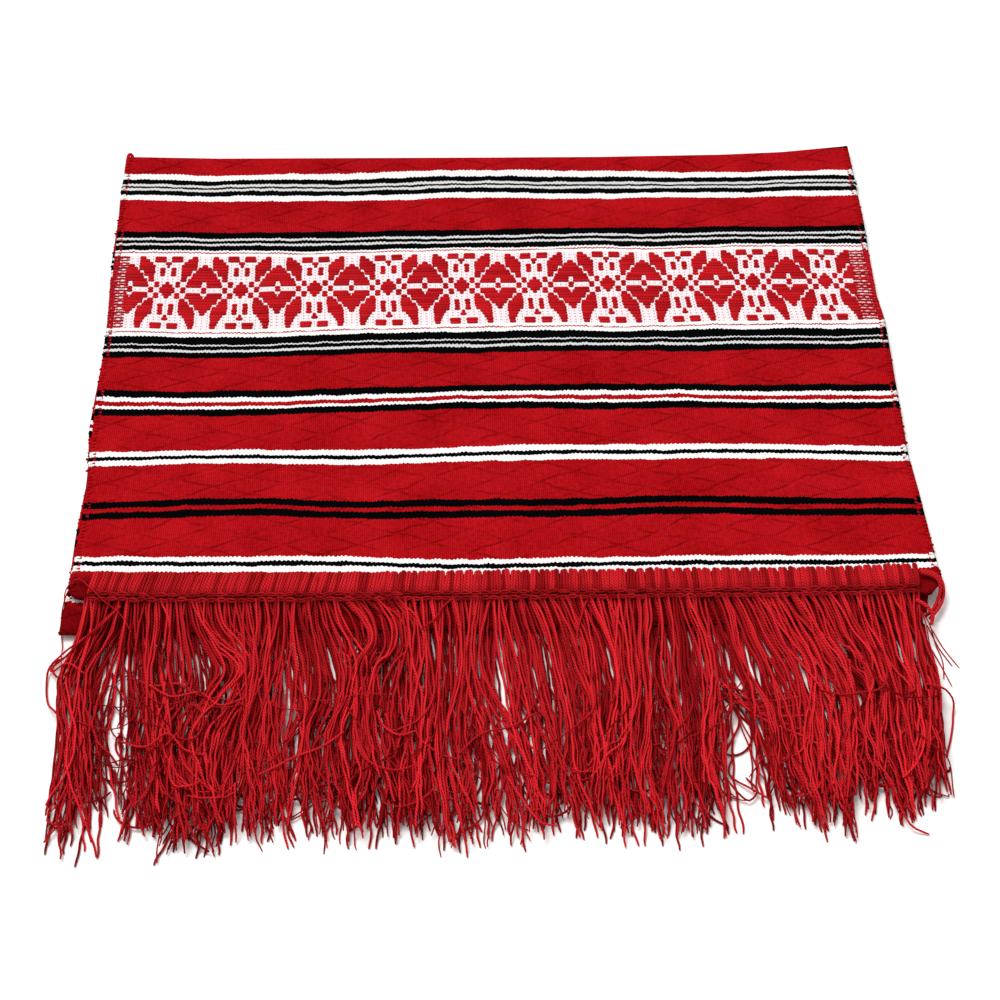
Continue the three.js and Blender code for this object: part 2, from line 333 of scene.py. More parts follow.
def makeClothMaterial():
    looks = clothLooks
    material = emptyMaterial("weft-faced hand-woven cloth")
    tree = material.node_tree

    woven = addNode(tree, "ShaderNodeAttribute", attribute_name="weave").outputs["Vector"]
    inMm = addNode(tree, "ShaderNodeVectorMath", {0: woven, "Scale": 1000}, operation="SCALE")
    split = addNode(tree, "ShaderNodeSeparateXYZ", {0: inMm})
    across, along = split.outputs[0], split.outputs[1]
    noises = {
        use: addNode(tree, "ShaderNodeTexNoise", {"Vector": inMm, **settings}, noise_dimensions="2D")
        for use, settings in looks["noises"].items()
    }

    # Toothed, slightly wandering stripe edges
    toothPhase = addNode(
        tree, "ShaderNodeMath", {0: across, 1: 2 * math.pi / weave["pick"]}, operation="MULTIPLY"
    )
    toothLate = addNode(
        tree, "ShaderNodeMath", {0: noises["tooth"], 1: 6.0, 2: toothPhase}, operation="MULTIPLY_ADD"
    )
    toothWave = addNode(tree, "ShaderNodeMath", {0: toothLate}, operation="SINE")
    least, most = looks["tooth"] * 0.5, looks["tooth"] * 1.4
    toothSize = addNode(tree, "ShaderNodeMapRange", {0: noises["tooth"], 1: 0.3, 2: 0.7, 3: least, 4: most})
    tooth = addNode(tree, "ShaderNodeMath", {0: toothWave, 1: toothSize}, operation="MULTIPLY")
    least, most = -looks["wander"], looks["wander"]
    wander = addNode(tree, "ShaderNodeMapRange", {0: noises["wander"], 1: 0.2, 2: 0.8, 3: least, 4: most})
    bend = addNode(tree, "ShaderNodeMath", {0: tooth, 1: wander}, operation="ADD")
    shifted = addNode(tree, "ShaderNodeMath", {0: along, 1: -weave["middle"]}, operation="ADD")
    shiftedBent = addNode(tree, "ShaderNodeMath", {0: shifted, 1: bend}, operation="ADD")
    fromMiddle = addNode(tree, "ShaderNodeMath", {0: shiftedBent}, operation="ABSOLUTE")

    # Two ramps hold the stripes, because one holds only 32
    parting = weave["parting"]
    innerStripes = [row for row in stripes if row[1] < weave["partingStripeTo"]]
    ramps = []
    for start, end, rows in ((0, parting, innerStripes), (parting, weave["reach"], stripes)):
        place = addNode(tree, "ShaderNodeMapRange", {0: fromMiddle, 1: start, 2: end, 3: 0, 4: 1})
        ramps.append(addNode(tree, "ShaderNodeValToRGB", {0: place}))
        fillStripes(ramps[-1].color_ramp, rows, start, end)
    isOuter = addNode(tree, "ShaderNodeMath", {0: fromMiddle, 1: parting}, operation="GREATER_THAN")
    flags = addNode(tree, "ShaderNodeMix", {0: isOuter, 6: ramps[0], 7: ramps[1]}, data_type="RGBA")
    masks = addNode(tree, "ShaderNodeSeparateColor", {0: flags.outputs[2]})
    isRed, isWhite = masks.outputs[0], masks.outputs[1]

    # Shallow broken grooves that cross into long diamonds on the red grounds
    brokenMask = addNode(tree, "ShaderNodeMapRange", {0: noises["broken"], 1: 0.38, 2: 0.6, 3: 0.2, 4: 1})
    up = addNode(tree, "ShaderNodeMath", {0: along, 1: 1 / looks["diamondDeep"]}, operation="MULTIPLY")
    grooves = []
    for slant in (1, -1):
        slope = slant / looks["diamondWide"] * (1.15 + slant * 0.15)
        over = addNode(tree, "ShaderNodeMath", {0: across, 1: slope, 2: up}, operation="MULTIPLY_ADD")
        bent = addNode(
            tree, "ShaderNodeMath", {0: noises["groove"], 1: looks["grooveBend"], 2: over},
            operation="MULTIPLY_ADD",
        )
        folded = addNode(tree, "ShaderNodeMath", {0: bent, 1: 0.5}, operation="PINGPONG")
        grooves.append(addNode(
            tree, "ShaderNodeMapRange", {0: folded, 1: 0, 2: looks["grooveShare"], 3: 1, 4: 0},
            interpolation_type="SMOOTHSTEP",
        ))
    crossed = addNode(tree, "ShaderNodeMath", {0: grooves[0], 1: grooves[1]}, operation="MAXIMUM")
    worn = addNode(tree, "ShaderNodeMath", {0: crossed, 1: brokenMask}, operation="MULTIPLY")
    groove = addNode(tree, "ShaderNodeMath", {0: worn, 1: isRed}, operation="MULTIPLY")

    # Fine ribs along the warp, crossed by the rows of weft
    row = addNode(tree, "ShaderNodeMath", {0: along, 1: 2 * math.pi / weave["pick"]}, operation="MULTIPLY")
    rowHeight = addNode(tree, "ShaderNodeMath", {0: row}, operation="SINE")
    rowRound = addNode(tree, "ShaderNodeMapRange", {0: rowHeight, 1: -1, 2: 1, 3: 0.6, 4: 1})
    ribPhase = addNode(tree, "ShaderNodeMath", {0: across, 1: math.pi / looks["rib"]}, operation="MULTIPLY")
    ribWave = addNode(tree, "ShaderNodeMath", {0: ribPhase}, operation="SINE")
    rib = addNode(tree, "ShaderNodeMath", {0: ribWave}, operation="ABSOLUTE")
    bumps = addNode(tree, "ShaderNodeMath", {0: rowRound, 1: rib}, operation="MULTIPLY")

    # Colour: reds vary with the dye and the hand of the weaver
    dyed = addNode(
        tree, "ShaderNodeMath", {0: noises["patches"], 1: 0.6, 2: noises["dye"]}, operation="MULTIPLY_ADD"
    )
    dyeShare = addNode(tree, "ShaderNodeMapRange", {0: dyed, 1: 0.45, 2: 1.15, 3: 0, 4: 1})
    inBand = addNode(tree, "ShaderNodeMath", {0: fromMiddle, 1: weave["bandFrom"]}, operation="GREATER_THAN")
    bandEnd = addNode(tree, "ShaderNodeMath", {0: fromMiddle, 1: weave["bandTo"]}, operation="LESS_THAN")
    band = addNode(tree, "ShaderNodeMath", {0: inBand, 1: bandEnd}, operation="MULTIPLY")
    red, white = (
        addNode(
            tree, "ShaderNodeMix", {0: share, 6: linear(looks[low]), 7: linear(looks[high])}, data_type="RGBA"
        ).outputs[2]
        for share, low, high in ((dyeShare, "redDark", "redBright"), (band, "white", "bandWhite"))
    )
    ground = addNode(
        tree, "ShaderNodeMix", {0: isWhite, 6: linear(looks["black"]), 7: white}, data_type="RGBA"
    )
    striped = addNode(tree, "ShaderNodeMix", {0: isRed, 6: ground.outputs[2], 7: red}, data_type="RGBA")

    # Small pink dots where the red weft of the motifs shows through the band's white ground
    dots = band
    for place, start, step, half in (
        (across, motif["firstFlower"], motif["unit"], looks["dotHalf"][0]),
        (shifted, weave["bandFrom"], bandPick, looks["dotHalf"][1]),
    ):
        fromStart = addNode(tree, "ShaderNodeMath", {0: place, 1: start}, operation="SUBTRACT")
        fromDot = addNode(tree, "ShaderNodeMath", {0: fromStart, 1: step / 2}, operation="PINGPONG")
        onDot = addNode(tree, "ShaderNodeMath", {0: fromDot, 1: half}, operation="LESS_THAN")
        dots = addNode(tree, "ShaderNodeMath", {0: dots, 1: onDot}, operation="MULTIPLY")
    faint = addNode(tree, "ShaderNodeMath", {0: dots, 1: looks["dotShare"]}, operation="MULTIPLY")
    overlays = [(faint, "pinkDot")]

    # Thin broken red lines beside the band, and the red warp ends near each side
    dashOn = addNode(tree, "ShaderNodeMapRange", {0: noises["wander"], 1: 0.35, 2: 0.45, 3: 0.55, 4: 1})
    for place in weave["edgeLines"]:
        on = addNode(
            tree, "ShaderNodeMath", {0: fromMiddle, 1: place, 2: looks["lineHalf"]}, operation="COMPARE"
        )
        line = addNode(tree, "ShaderNodeMath", {0: on, 1: dashOn}, operation="MULTIPLY")
        overlays.append((line, "lineRed"))
    side = addNode(tree, "ShaderNodeMath", {0: across}, operation="ABSOLUTE")
    sideMiddle = (looks["selvedgeFrom"] + looks["selvedgeTo"]) / 2
    sideHalf = (looks["selvedgeTo"] - looks["selvedgeFrom"]) / 2
    nearSide = addNode(tree, "ShaderNodeMath", {0: side, 1: sideMiddle, 2: sideHalf}, operation="COMPARE")
    stitch = addNode(tree, "ShaderNodeMath", {0: along, 1: weave["pick"] / 2}, operation="PINGPONG")
    stitchOn = addNode(tree, "ShaderNodeMath", {0: stitch, 1: 0.42}, operation="GREATER_THAN")
    notRed = addNode(tree, "ShaderNodeMath", {0: 1.0, 1: isRed}, operation="SUBTRACT")
    seen = addNode(tree, "ShaderNodeMath", {0: nearSide, 1: notRed}, operation="MULTIPLY")
    stitches = addNode(tree, "ShaderNodeMath", {0: seen, 1: stitchOn}, operation="MULTIPLY")
    rim = addNode(tree, "ShaderNodeMath", {0: side, 1: looks["rimFrom"]}, operation="GREATER_THAN")
    bandRim = addNode(tree, "ShaderNodeMath", {0: rim, 1: band}, operation="MULTIPLY")
    atSide = addNode(tree, "ShaderNodeMath", {0: stitches, 1: bandRim}, operation="MAXIMUM")
    overlays.append((atSide, "lineRed"))

    # Painted shade: the top of the lower layer is mixed towards a dark red between the two trims
    underFrom = -looks["underFrom"]
    covered = addNode(
        tree, "ShaderNodeMapRange", {0: shifted, 1: underFrom, 2: underFrom - looks["underEase"]}
    )
    between = addNode(tree, "ShaderNodeMath", {0: side, 1: looks["underHalf"]}, operation="LESS_THAN")
    before = addNode(tree, "ShaderNodeMath", {0: fromMiddle, 1: looks["underTo"]}, operation="LESS_THAN")
    inside = addNode(tree, "ShaderNodeAttribute", attribute_name="inside").outputs["Fac"]
    for share in (between, before, inside):
        covered = addNode(tree, "ShaderNodeMath", {0: covered, 1: share}, operation="MULTIPLY")
    overlays.append((covered, "underRed"))
    colour = striped.outputs[2]
    for share, over in overlays:
        colour = addNode(
            tree, "ShaderNodeMix", {0: share, 6: colour, 7: linear(looks[over])}, data_type="RGBA"
        ).outputs[2]

    # Painted shade in the grooves, in the hollows between the weft bumps, on the end under the trim and on the
    # curled hem
    deepest = addNode(tree, "ShaderNodeMath", {0: isWhite, 1: 0.2, 2: 0.72}, operation="MULTIPLY_ADD")
    hollowShade = addNode(tree, "ShaderNodeMapRange", {0: bumps, 1: 0, 2: 0.7, 3: deepest, 4: 1.04})
    creaseShade = addNode(
        tree, "ShaderNodeMath", {0: groove, 1: -looks["grooveShade"], 2: hollowShade}, operation="MULTIPLY_ADD"
    )
    endFrom, endTo = looks["endFrom"], looks["endTo"]
    endShade = addNode(
        tree, "ShaderNodeMapRange", {0: fromMiddle, 1: endFrom, 2: endTo, 3: 1, 4: looks["endShade"]}
    )
    hemFrom, hemTo = looks["hemFrom"], looks["hemFrom"] + looks["hemEase"]
    curled = addNode(
        tree, "ShaderNodeMapRange", {0: shifted, 1: hemFrom, 2: hemTo, 3: 1, 4: looks["hemShade"]}
    )
    anyShade = addNode(tree, "ShaderNodeMath", {0: endShade, 1: curled}, operation="MULTIPLY")
    shade = addNode(tree, "ShaderNodeMath", {0: creaseShade, 1: anyShade}, operation="MULTIPLY")
    shaded = addNode(tree, "ShaderNodeVectorMath", {0: colour, "Scale": shade}, operation="SCALE")

    deep = addNode(
        tree, "ShaderNodeMath", {0: groove, 1: -looks["grooveDepth"], 2: bumps}, operation="MULTIPLY_ADD"
    )
    grain = addNode(tree, "ShaderNodeMath", {0: noises["dye"], 1: 0.5, 2: deep}, operation="MULTIPLY_ADD")
    bump = addNode(
        tree, "ShaderNodeBump", {"Strength": 0.7, "Distance": looks["bumpDepth"] * mm, "Height": grain}
    )
    surface = addNode(
        tree, "ShaderNodeBsdfPrincipled",
        {"Base Color": shaded, "Roughness": 0.95, "IOR": 1.45, "Specular IOR Level": 0.012, "Normal": bump},
    )
    addNode(tree, "ShaderNodeOutputMaterial", {0: surface})
    return material


# Material of the trim and the motifs: soft two-ply wool-like yarn, matt, with a spiral of two plies and fuzz
# that softens its edges
yarnLooks = {
    "lay": 3.3,  # length of one full turn of a ply
    "buriedShade": 0.66,  # painted shade: how much of its colour shows on a yarn at the bottom of the pile
    "fibres": 2500,  # changes a metre
    "bumpDepth": 0.25,
    "sheen": "#ff3038",
    # each yarn's name, its dye at its darkest and brightest, and how light the painted shade in the groove
    # between its plies is
    "floats": ("red weft floats of soft wool", "#900810", "#b8131b", 0.88),
    "trim": ("looped wool trim", "#8a060c", "#d4212a", 0.45),
    "fringe": ("two-ply wool fringe", "#86060c", "#dc242d", 0.34),
}


def makeYarnMaterial(name, dark, bright, hollowShade):
    looks = yarnLooks
    material = emptyMaterial(name)
    tree = material.node_tree
    around = addNode(tree, "ShaderNodeAttribute", attribute_name="around").outputs["Vector"]
    along, laid, sunkShade = (
        addNode(tree, "ShaderNodeAttribute", attribute_name=label).outputs["Fac"]
        for label in ("along", "shade", "sunkShade")
    )
    split = addNode(tree, "ShaderNodeSeparateXYZ", {0: around})
    angle = addNode(tree, "ShaderNodeMath", {0: split.outputs[1], 1: split}, operation="ARCTAN2")
    turns = 2 * math.pi / (looks["lay"] * mm)
    turn = addNode(tree, "ShaderNodeMath", {0: along, 1: turns, 2: angle}, operation="MULTIPLY_ADD")
    wave = addNode(tree, "ShaderNodeMath", {0: turn}, operation="COSINE")
    ply = addNode(tree, "ShaderNodeMath", {0: wave}, operation="ABSOLUTE")
    place = addNode(tree, "ShaderNodeTexCoord").outputs["Object"]
    fibres = addNode(tree, "ShaderNodeTexNoise", {"Vector": place, "Scale": looks["fibres"], "Detail": 3})
    # The shade attribute holds painted shade as well as each yarn's own tone; it picks between the darkest and
    # brightest dye
    mixed = addNode(tree, "ShaderNodeMath", {0: fibres, 1: 0.5, 2: laid}, operation="MULTIPLY_ADD")
    share = addNode(tree, "ShaderNodeMapRange", {0: mixed, 1: 0.1, 2: 1.35, 3: 0, 4: 1})
    dyed = addNode(tree, "ShaderNodeMix", {0: share, 6: linear(dark), 7: linear(bright)}, data_type="RGBA")
    # Painted shade in the groove between the two plies, and a painted highlight on their crowns
    groove = addNode(tree, "ShaderNodeMapRange", {0: ply, 1: 0, 2: 0.75, 3: hollowShade, 4: 1.12})
    # Painted shade on yarns laid at the bottom of the pile
    buriedShade = addNode(tree, "ShaderNodeMapRange", {0: laid, 1: -1.0, 2: 0.1, 3: looks["buriedShade"], 4: 1})
    # Painted shade on stitches where they lie deep
    raised = addNode(tree, "ShaderNodeMath", {0: sunkShade, 1: -1.0, 2: 1.0}, operation="MULTIPLY_ADD")
    lit = addNode(tree, "ShaderNodeMath", {0: raised, 1: buriedShade}, operation="MULTIPLY")
    shadow = addNode(tree, "ShaderNodeMath", {0: groove, 1: lit}, operation="MULTIPLY")
    colour = addNode(tree, "ShaderNodeVectorMath", {0: dyed.outputs[2], "Scale": shadow}, operation="SCALE")
    height = addNode(tree, "ShaderNodeMath", {0: fibres, 1: 0.35, 2: ply}, operation="MULTIPLY_ADD")
    bump = addNode(
        tree, "ShaderNodeBump", {"Strength": 0.8, "Distance": looks["bumpDepth"] * mm, "Height": height}
    )
    surface = addNode(
        tree, "ShaderNodeBsdfPrincipled",
        {
            "Base Color": colour, "Roughness": 0.85, "IOR": 1.5, "Specular IOR Level": 0.06,
            "Sheen Weight": 0.05, "Sheen Roughness": 0.5, "Sheen Tint": linear(looks["sheen"]), "Normal": bump,
        },
    )
    addNode(tree, "ShaderNodeOutputMaterial", {0: surface})
    return material


# Geometry Nodes: a tree's named inputs. Both trees end by spinning yarn round every curve, and the last three
# are for that.
def addGroupInputs(tree, sockets):
    for name, kind in (*sockets, ("Sides", "Int"), ("Flatness", "Float"), ("Material", "Material")):
        tree.interface.new_socket(name, in_out="INPUT", socket_type="NodeSocket" + kind)
    tree.interface.new_socket("Geometry", in_out="OUTPUT", socket_type="NodeSocketGeometry")
    return tree.nodes.new("NodeGroupInput").outputs


def spinYarn(tree, curve, given):
    radius = addNode(tree, "GeometryNodeInputNamedAttribute", {0: "yarnRadius"}, data_type="FLOAT")
    spline = addNode(tree, "GeometryNodeSplineParameter").outputs["Length"]
    upright = addNode(tree, "GeometryNodeSetCurveNormal", {0: curve}, mode="Z_UP")
    measured = addNode(
        tree, "GeometryNodeStoreNamedAttribute", {0: upright, "Name": "along", "Value": spline},
        data_type="FLOAT", domain="POINT",
    )
    circle = addNode(
        tree, "GeometryNodeCurvePrimitiveCircle", {"Resolution": given["Sides"], "Radius": 1.0}, mode="RADIUS"
    )
    place = addNode(tree, "GeometryNodeInputPosition")
    marked = addNode(
        tree, "GeometryNodeStoreNamedAttribute", {0: circle, "Name": "around", "Value": place},
        data_type="FLOAT_VECTOR", domain="POINT",
    )
    squash = addNode(tree, "ShaderNodeCombineXYZ", {0: 1.0, 1: given["Flatness"], 2: 1.0})
    profile = addNode(tree, "GeometryNodeTransform", {"Geometry": marked, "Scale": squash})
    tube = addNode(
        tree, "GeometryNodeCurveToMesh",
        {"Curve": measured, "Profile Curve": profile, "Scale": radius, "Fill Caps": True},
    )
    smooth = addNode(tree, "GeometryNodeSetShadeSmooth", {0: tube})
    real = addNode(tree, "GeometryNodeRealizeInstances", {0: smooth})
    dressed = addNode(tree, "GeometryNodeSetMaterial", {0: real, "Material": given["Material"]})
    addNode(tree, "NodeGroupOutput", {0: dressed})


# Yarn along every path of the mesh that it is given
def makePathTree():
    tree = bpy.data.node_groups.new("yarn along paths", "GeometryNodeTree")
    given = addGroupInputs(tree, [("Paths", "Geometry")])
    curve = addNode(tree, "GeometryNodeMeshToCurve", {0: given["Paths"]})
    spinYarn(tree, curve, given)
    return tree


# A stitch at every point of a guide, each one stretched and crumpled a little differently
def makeRowTree():
    tree = bpy.data.node_groups.new("stitches along a guide", "GeometryNodeTree")
    given = addGroupInputs(tree, [
        ("Guide", "Geometry"), ("Stitch", "Object"), ("Stretch", "Float"), ("Wiggle", "Float"),
        ("Press", "Float"), ("Seed", "Int"),
    ])
    guide = addNode(tree, "GeometryNodeMeshToCurve", {0: given["Guide"]})
    points = addNode(tree, "GeometryNodeCurveToPoints", {"Curve": guide}, mode="EVALUATED")
    stitch = addNode(tree, "GeometryNodeObjectInfo", {"Object": given["Stitch"]})
    turn = addNode(tree, "GeometryNodeInputNamedAttribute", {0: "turn"}, data_type="FLOAT_VECTOR")
    rotation = addNode(tree, "FunctionNodeEulerToRotation", {0: turn})
    least = addNode(tree, "ShaderNodeMath", {0: 1.0, 1: given["Stretch"]}, operation="SUBTRACT")
    most = addNode(tree, "ShaderNodeMath", {0: 1.0, 1: given["Stretch"]}, operation="ADD")
    length = addNode(
        tree, "FunctionNodeRandomValue", {2: least, 3: most, "Seed": given["Seed"]}, data_type="FLOAT"
    )
    scale = addNode(tree, "ShaderNodeCombineXYZ", {0: 1.0, 1: length.outputs[1], 2: given["Press"]})
    placed = addNode(
        tree, "GeometryNodeInstanceOnPoints",
        {
            "Points": points.outputs["Points"], "Instance": stitch.outputs["Geometry"], "Rotation": rotation,
            "Scale": scale,
        },
    )
    real = addNode(tree, "GeometryNodeRealizeInstances", {0: placed})
    place = addNode(tree, "GeometryNodeInputPosition")
    crumple = addNode(tree, "ShaderNodeTexNoise", {"Vector": place, "Scale": 160, "Detail": 1})
    centred = addNode(
        tree, "ShaderNodeVectorMath", {0: crumple.outputs[1], 1: (0.5, 0.5, 0.5)}, operation="SUBTRACT"
    )
    offset = addNode(tree, "ShaderNodeVectorMath", {0: centred, "Scale": given["Wiggle"]}, operation="SCALE")
    moved = addNode(tree, "GeometryNodeSetPosition", {"Geometry": real, "Offset": offset})
    curve = addNode(tree, "GeometryNodeMeshToCurve", {0: moved})
    spinYarn(tree, curve, given)
    return tree


# Runs a tree on an object and keeps the result as a plain mesh under a new name
def runTree(name, source, tree, **values):
    modifier = source.modifiers.new("tree", "NODES")
    modifier.node_group = tree
    for item in tree.interface.items_tree:
        if item.in_out == "INPUT" and item.name in values:
            modifier[item.identifier] = values[item.name]
    depsgraph = bpy.context.evaluated_depsgraph_get()
    mesh = bpy.data.meshes.new_from_object(
        source.evaluated_get(depsgraph), preserve_all_data_layers=True, depsgraph=depsgraph
    )
    mesh.name = name
    made = addObject(name, mesh)
    bpy.data.objects.remove(source)
    mesh.calc_loop_triangles()
    print(f"{name}: {len(mesh.loop_triangles)} triangles")
    return made


# Paths become a mesh of edges. Each path is points in millimetres, a radius (one or one a point) and a shade.
def pathObject(paths):
    points, edges, radii, shades = [], [], [], []
    start = 0
    for path, radius, shade in paths:
        count = len(path)
        points.append(np.asarray(path, float))
        edges += [(start + i, start + i + 1) for i in range(count - 1)]
        radii.append(np.broadcast_to(np.asarray(radius, float), count))
        shades.append(np.broadcast_to(np.asarray(shade, float), count))
        start += count
    made = makeMesh("paths", toWorld(np.concatenate(points)), edges=edges)
    storeOnPoints(made, "yarnRadius", np.concatenate(radii) * mm)
    storeOnPoints(made, "shade", np.concatenate(shades))
    return made


# A stitch's own shape, drawn once round its origin
def stitchObject(name, paths, radius, sunkShade=0.0):
    points, edges = [], []
    for path in paths:
        start = len(points)
        points += [[c * mm for c in point] for point in path]
        edges += [(start + i, start + i + 1) for i in range(len(path) - 1)]
    made = makeMesh(name, points, edges=edges)
    # Each point also holds how much painted shade the stitch gets there, where it lies deep
    for label, value in (("yarnRadius", radius * mm), ("sunkShade", sunkShade)):
        storeOnPoints(made, label, np.broadcast_to(value, len(points)))
    return made


# A guide for stitches: a point for each, with its turn, its shade and its place in the weave
def guideObject(points, turns, shades, woven=None):
    made = makeMesh("guide", toWorld(points), edges=[(i, i + 1) for i in range(len(points) - 1)])
    storeOnPoints(made, "turn", turns)
    storeOnPoints(made, "shade", shades)
    if woven is not None:
        storeOnPoints(made, "weave", np.asarray(woven, np.float32) * mm)
    return made


# The woven cloth itself: one closed sheet, from the lower layer's end round the fold to the upper one's
def makeCloth(material):
    columns = np.linspace(-cloth["width"] / 2, cloth["width"] / 2, cloth["columns"] + 1)
    turn = turnPlace(columns)
    rows = []
    lowerEnd = readTable(cloth["lowerEnd"], columns)
    for step in range(cloth["lowerRows"]):
        share = (step / cloth["lowerRows"]) ** 1.15
        x, y, z, length = lowerSheet(columns, lowerEnd + (turn - lowerEnd) * share)
        rows.append((x, y, z, length))
    turnMiddle = (cloth["lowerMiddle"] + cloth["turnTop"]) / 2
    sides = sideways(columns, turn, cloth["upperSides"])
    for step in range(cloth["turnRows"] + 1):
        angle = math.pi * (step / cloth["turnRows"] - 0.5)
        y = turn + cloth["turnRadius"] * math.cos(angle)
        z = np.full_like(columns, turnMiddle + (cloth["turnTop"] - turnMiddle) * math.sin(angle))
        length = lengthAtTurn(columns) - cloth["turnRadius"] * (math.pi / 2 - angle)
        rows.append((sides, y, z, length))
    upperEnd = readTable(cloth["upperEnd"], columns)
    for step in range(1, cloth["upperRows"] + 1):
        share = 1 - (1 - step / cloth["upperRows"]) ** 1.1
        rows.append(upperSheet(columns, turn + (upperEnd - turn) * share))
    grid = np.stack([np.stack(row[:3], axis=1) for row in rows])
    lengths = np.stack([row[3] for row in rows])
    alongRows = np.gradient(grid, axis=0)
    alongColumns = np.gradient(grid, axis=1)
    normals = np.cross(alongColumns, alongRows)
    normals /= np.linalg.norm(normals, axis=2, keepdims=True)
    rowCount, columnCount = lengths.shape
    front = grid - normals * cloth["thickness"] / 2
    back = grid + normals * cloth["thickness"] / 2
    points = toWorld(np.concatenate([front.reshape(-1, 3), back.reshape(-1, 3)]))
    half = rowCount * columnCount
    number = np.arange(half).reshape(rowCount, columnCount)
    faces = []
    for row in range(rowCount - 1):
        for column in range(columnCount - 1):
            a, b = int(number[row, column]), int(number[row, column + 1])
            c, d = int(number[row + 1, column + 1]), int(number[row + 1, column])
            faces.append((a, d, c, b))
            faces.append((half + a, half + b, half + c, half + d))
    rim = [int(number[0, c]) for c in range(columnCount)]
    rim += [int(number[r, -1]) for r in range(1, rowCount)]
    rim += [int(number[-1, c]) for c in range(columnCount - 2, -1, -1)]
    rim += [int(number[r, 0]) for r in range(rowCount - 2, 0, -1)]
    for here, after in zip(rim, rim[1:] + rim[:1]):
        faces.append((here, after, half + after, half + here))
    made = makeMesh("woven_cloth", points, faces)
    made.data.polygons.foreach_set("use_smooth", [True] * len(faces))
    across = np.tile(columns, rowCount)
    woven = np.stack([np.tile(across, 2), np.tile(lengths.ravel(), 2)], axis=1) * mm
    corners = np.zeros(len(made.data.loops), np.int32)
    made.data.loops.foreach_get("vertex_index", corners)
    layer = made.data.uv_layers.new(name="weave")
    layer.data.foreach_set("uv", woven[corners].astype(np.float32).ravel())
    storeOnPoints(made, "inside", np.repeat([0, 1], half))  # 1 on the faces that meet when it is folded
    made.data.materials.append(material)
    made.data.calc_loop_triangles()
    print(f"woven_cloth: {len(made.data.loop_triangles)} triangles")
    return made


# The motifs: a small repeat of a traditional band, charted. Each row is one pick, from the fold's side
# of the band to its near side, and holds the runs of red from a flower's middle to the next star's. The other
# half of the repeat is mirrored.
motif = {
    "unit": 2.74,
    "firstFlower": 1.4,  # x of the flower nearest the middle
    "from": -193,
    "to": 190,
    "chart": [
        [(1.5, 2.5), (4.4, 6.4)],
        [(1.45, 3.3), (4.35, 6.45)],
        [(1.45, 3.9), (6.45, 7)],
        [(0, 0.5), (1.45, 4.45), (6.75, 7)],
        [(0, 1.2), (1.55, 4.45), (5.5, 6.4)],
        [(0, 1.6), (2.4, 4.45), (5.5, 6.4)],
        [(0, 2.25), (2.55, 4.4), (5.5, 6.4)],
        [(0, 2.4), (3.35, 4.4)],
        [(0, 3.0), (3.4, 4.45)],
        [(0.45, 3.25), (4.55, 5.45), (6.65, 7)],
        [(0.5, 3.45), (4.55, 5.45), (6.1, 7)],
        [(0, 0.45), (3.5, 4.4), (5.6, 7)],
        [(0, 0.45), (3.55, 4.4), (5.6, 7)],
        [(0.6, 3.4), (4.55, 5.5), (6.15, 7)],
        [(0.2, 3.45), (4.55, 5.5), (6.65, 7)],
        [(0, 2.7), (3.5, 4.5)],
        [(0, 2.55), (2.9, 4.6)],
        [(0, 1.7), (2.6, 4.6), (5.55, 6.45)],
        [(0, 1.45), (1.8, 4.6), (5.55, 6.45)],
        [(0, 0.75), (1.6, 4.55), (5.55, 6.45)],
        [(0, 0.45), (1.5, 4.45), (5.55, 6.45)],
        [(1.5, 3.75), (6.75, 7)],
        [(1.55, 3.35), (6.45, 7)],
        [(1.5, 3.0)],
        [(1.5, 2.75), (4.4, 6.45)],
        [(1.6, 2.6), (4.45, 6.4)],
    ],
    "repeat": 14,  # units from one flower to the next
    "joinedAt": 0.05,  # runs nearer than this are one float
    "shortest": 0.6,
    "overlap": (0.05, 0.4),  # how far a float reaches past its run
    "longFrom": 5,  # a float longer than this is a little fuller
    "fullness": {"long": 0.6, "short": 0.56},
    "tipLength": 0.6,
    "tipShare": 0.6,
    "height": 0.24,  # how far a float stands up, as a share of its width
    "lift": 0.14,
    "liftUneven": (-0.06, 0.08),
    "sink": 0.22,  # how much lower its tips lie
    "seed": 5,
}
bandPick = (weave["bandTo"] - weave["bandFrom"]) / len(motif["chart"])


def floatRuns():
    unit = motif["unit"]
    repeat = motif["repeat"] * unit
    runs = []
    for number, row in enumerate(motif["chart"]):
        length = weave["bandFrom"] + weave["middle"] + (number + 0.5) * bandPick
        spans = []
        for repeatNumber in range(-6, 7):
            flower = motif["firstFlower"] + repeatNumber * repeat
            for start, stop in row:
                right = (flower + start * unit, flower + stop * unit)
                left = (flower - stop * unit, flower - start * unit)
                spans += [left, right]
        spans.sort()
        joined = [list(spans[0])]
        for start, stop in spans[1:]:
            if start <= joined[-1][1] + motif["joinedAt"]:
                joined[-1][1] = max(joined[-1][1], stop)
            else:
                joined.append([start, stop])
        for start, stop in joined:
            start, stop = max(start, motif["from"]), min(stop, motif["to"])
            if stop - start > motif["shortest"]:
                runs.append((start, stop, length))
    return runs


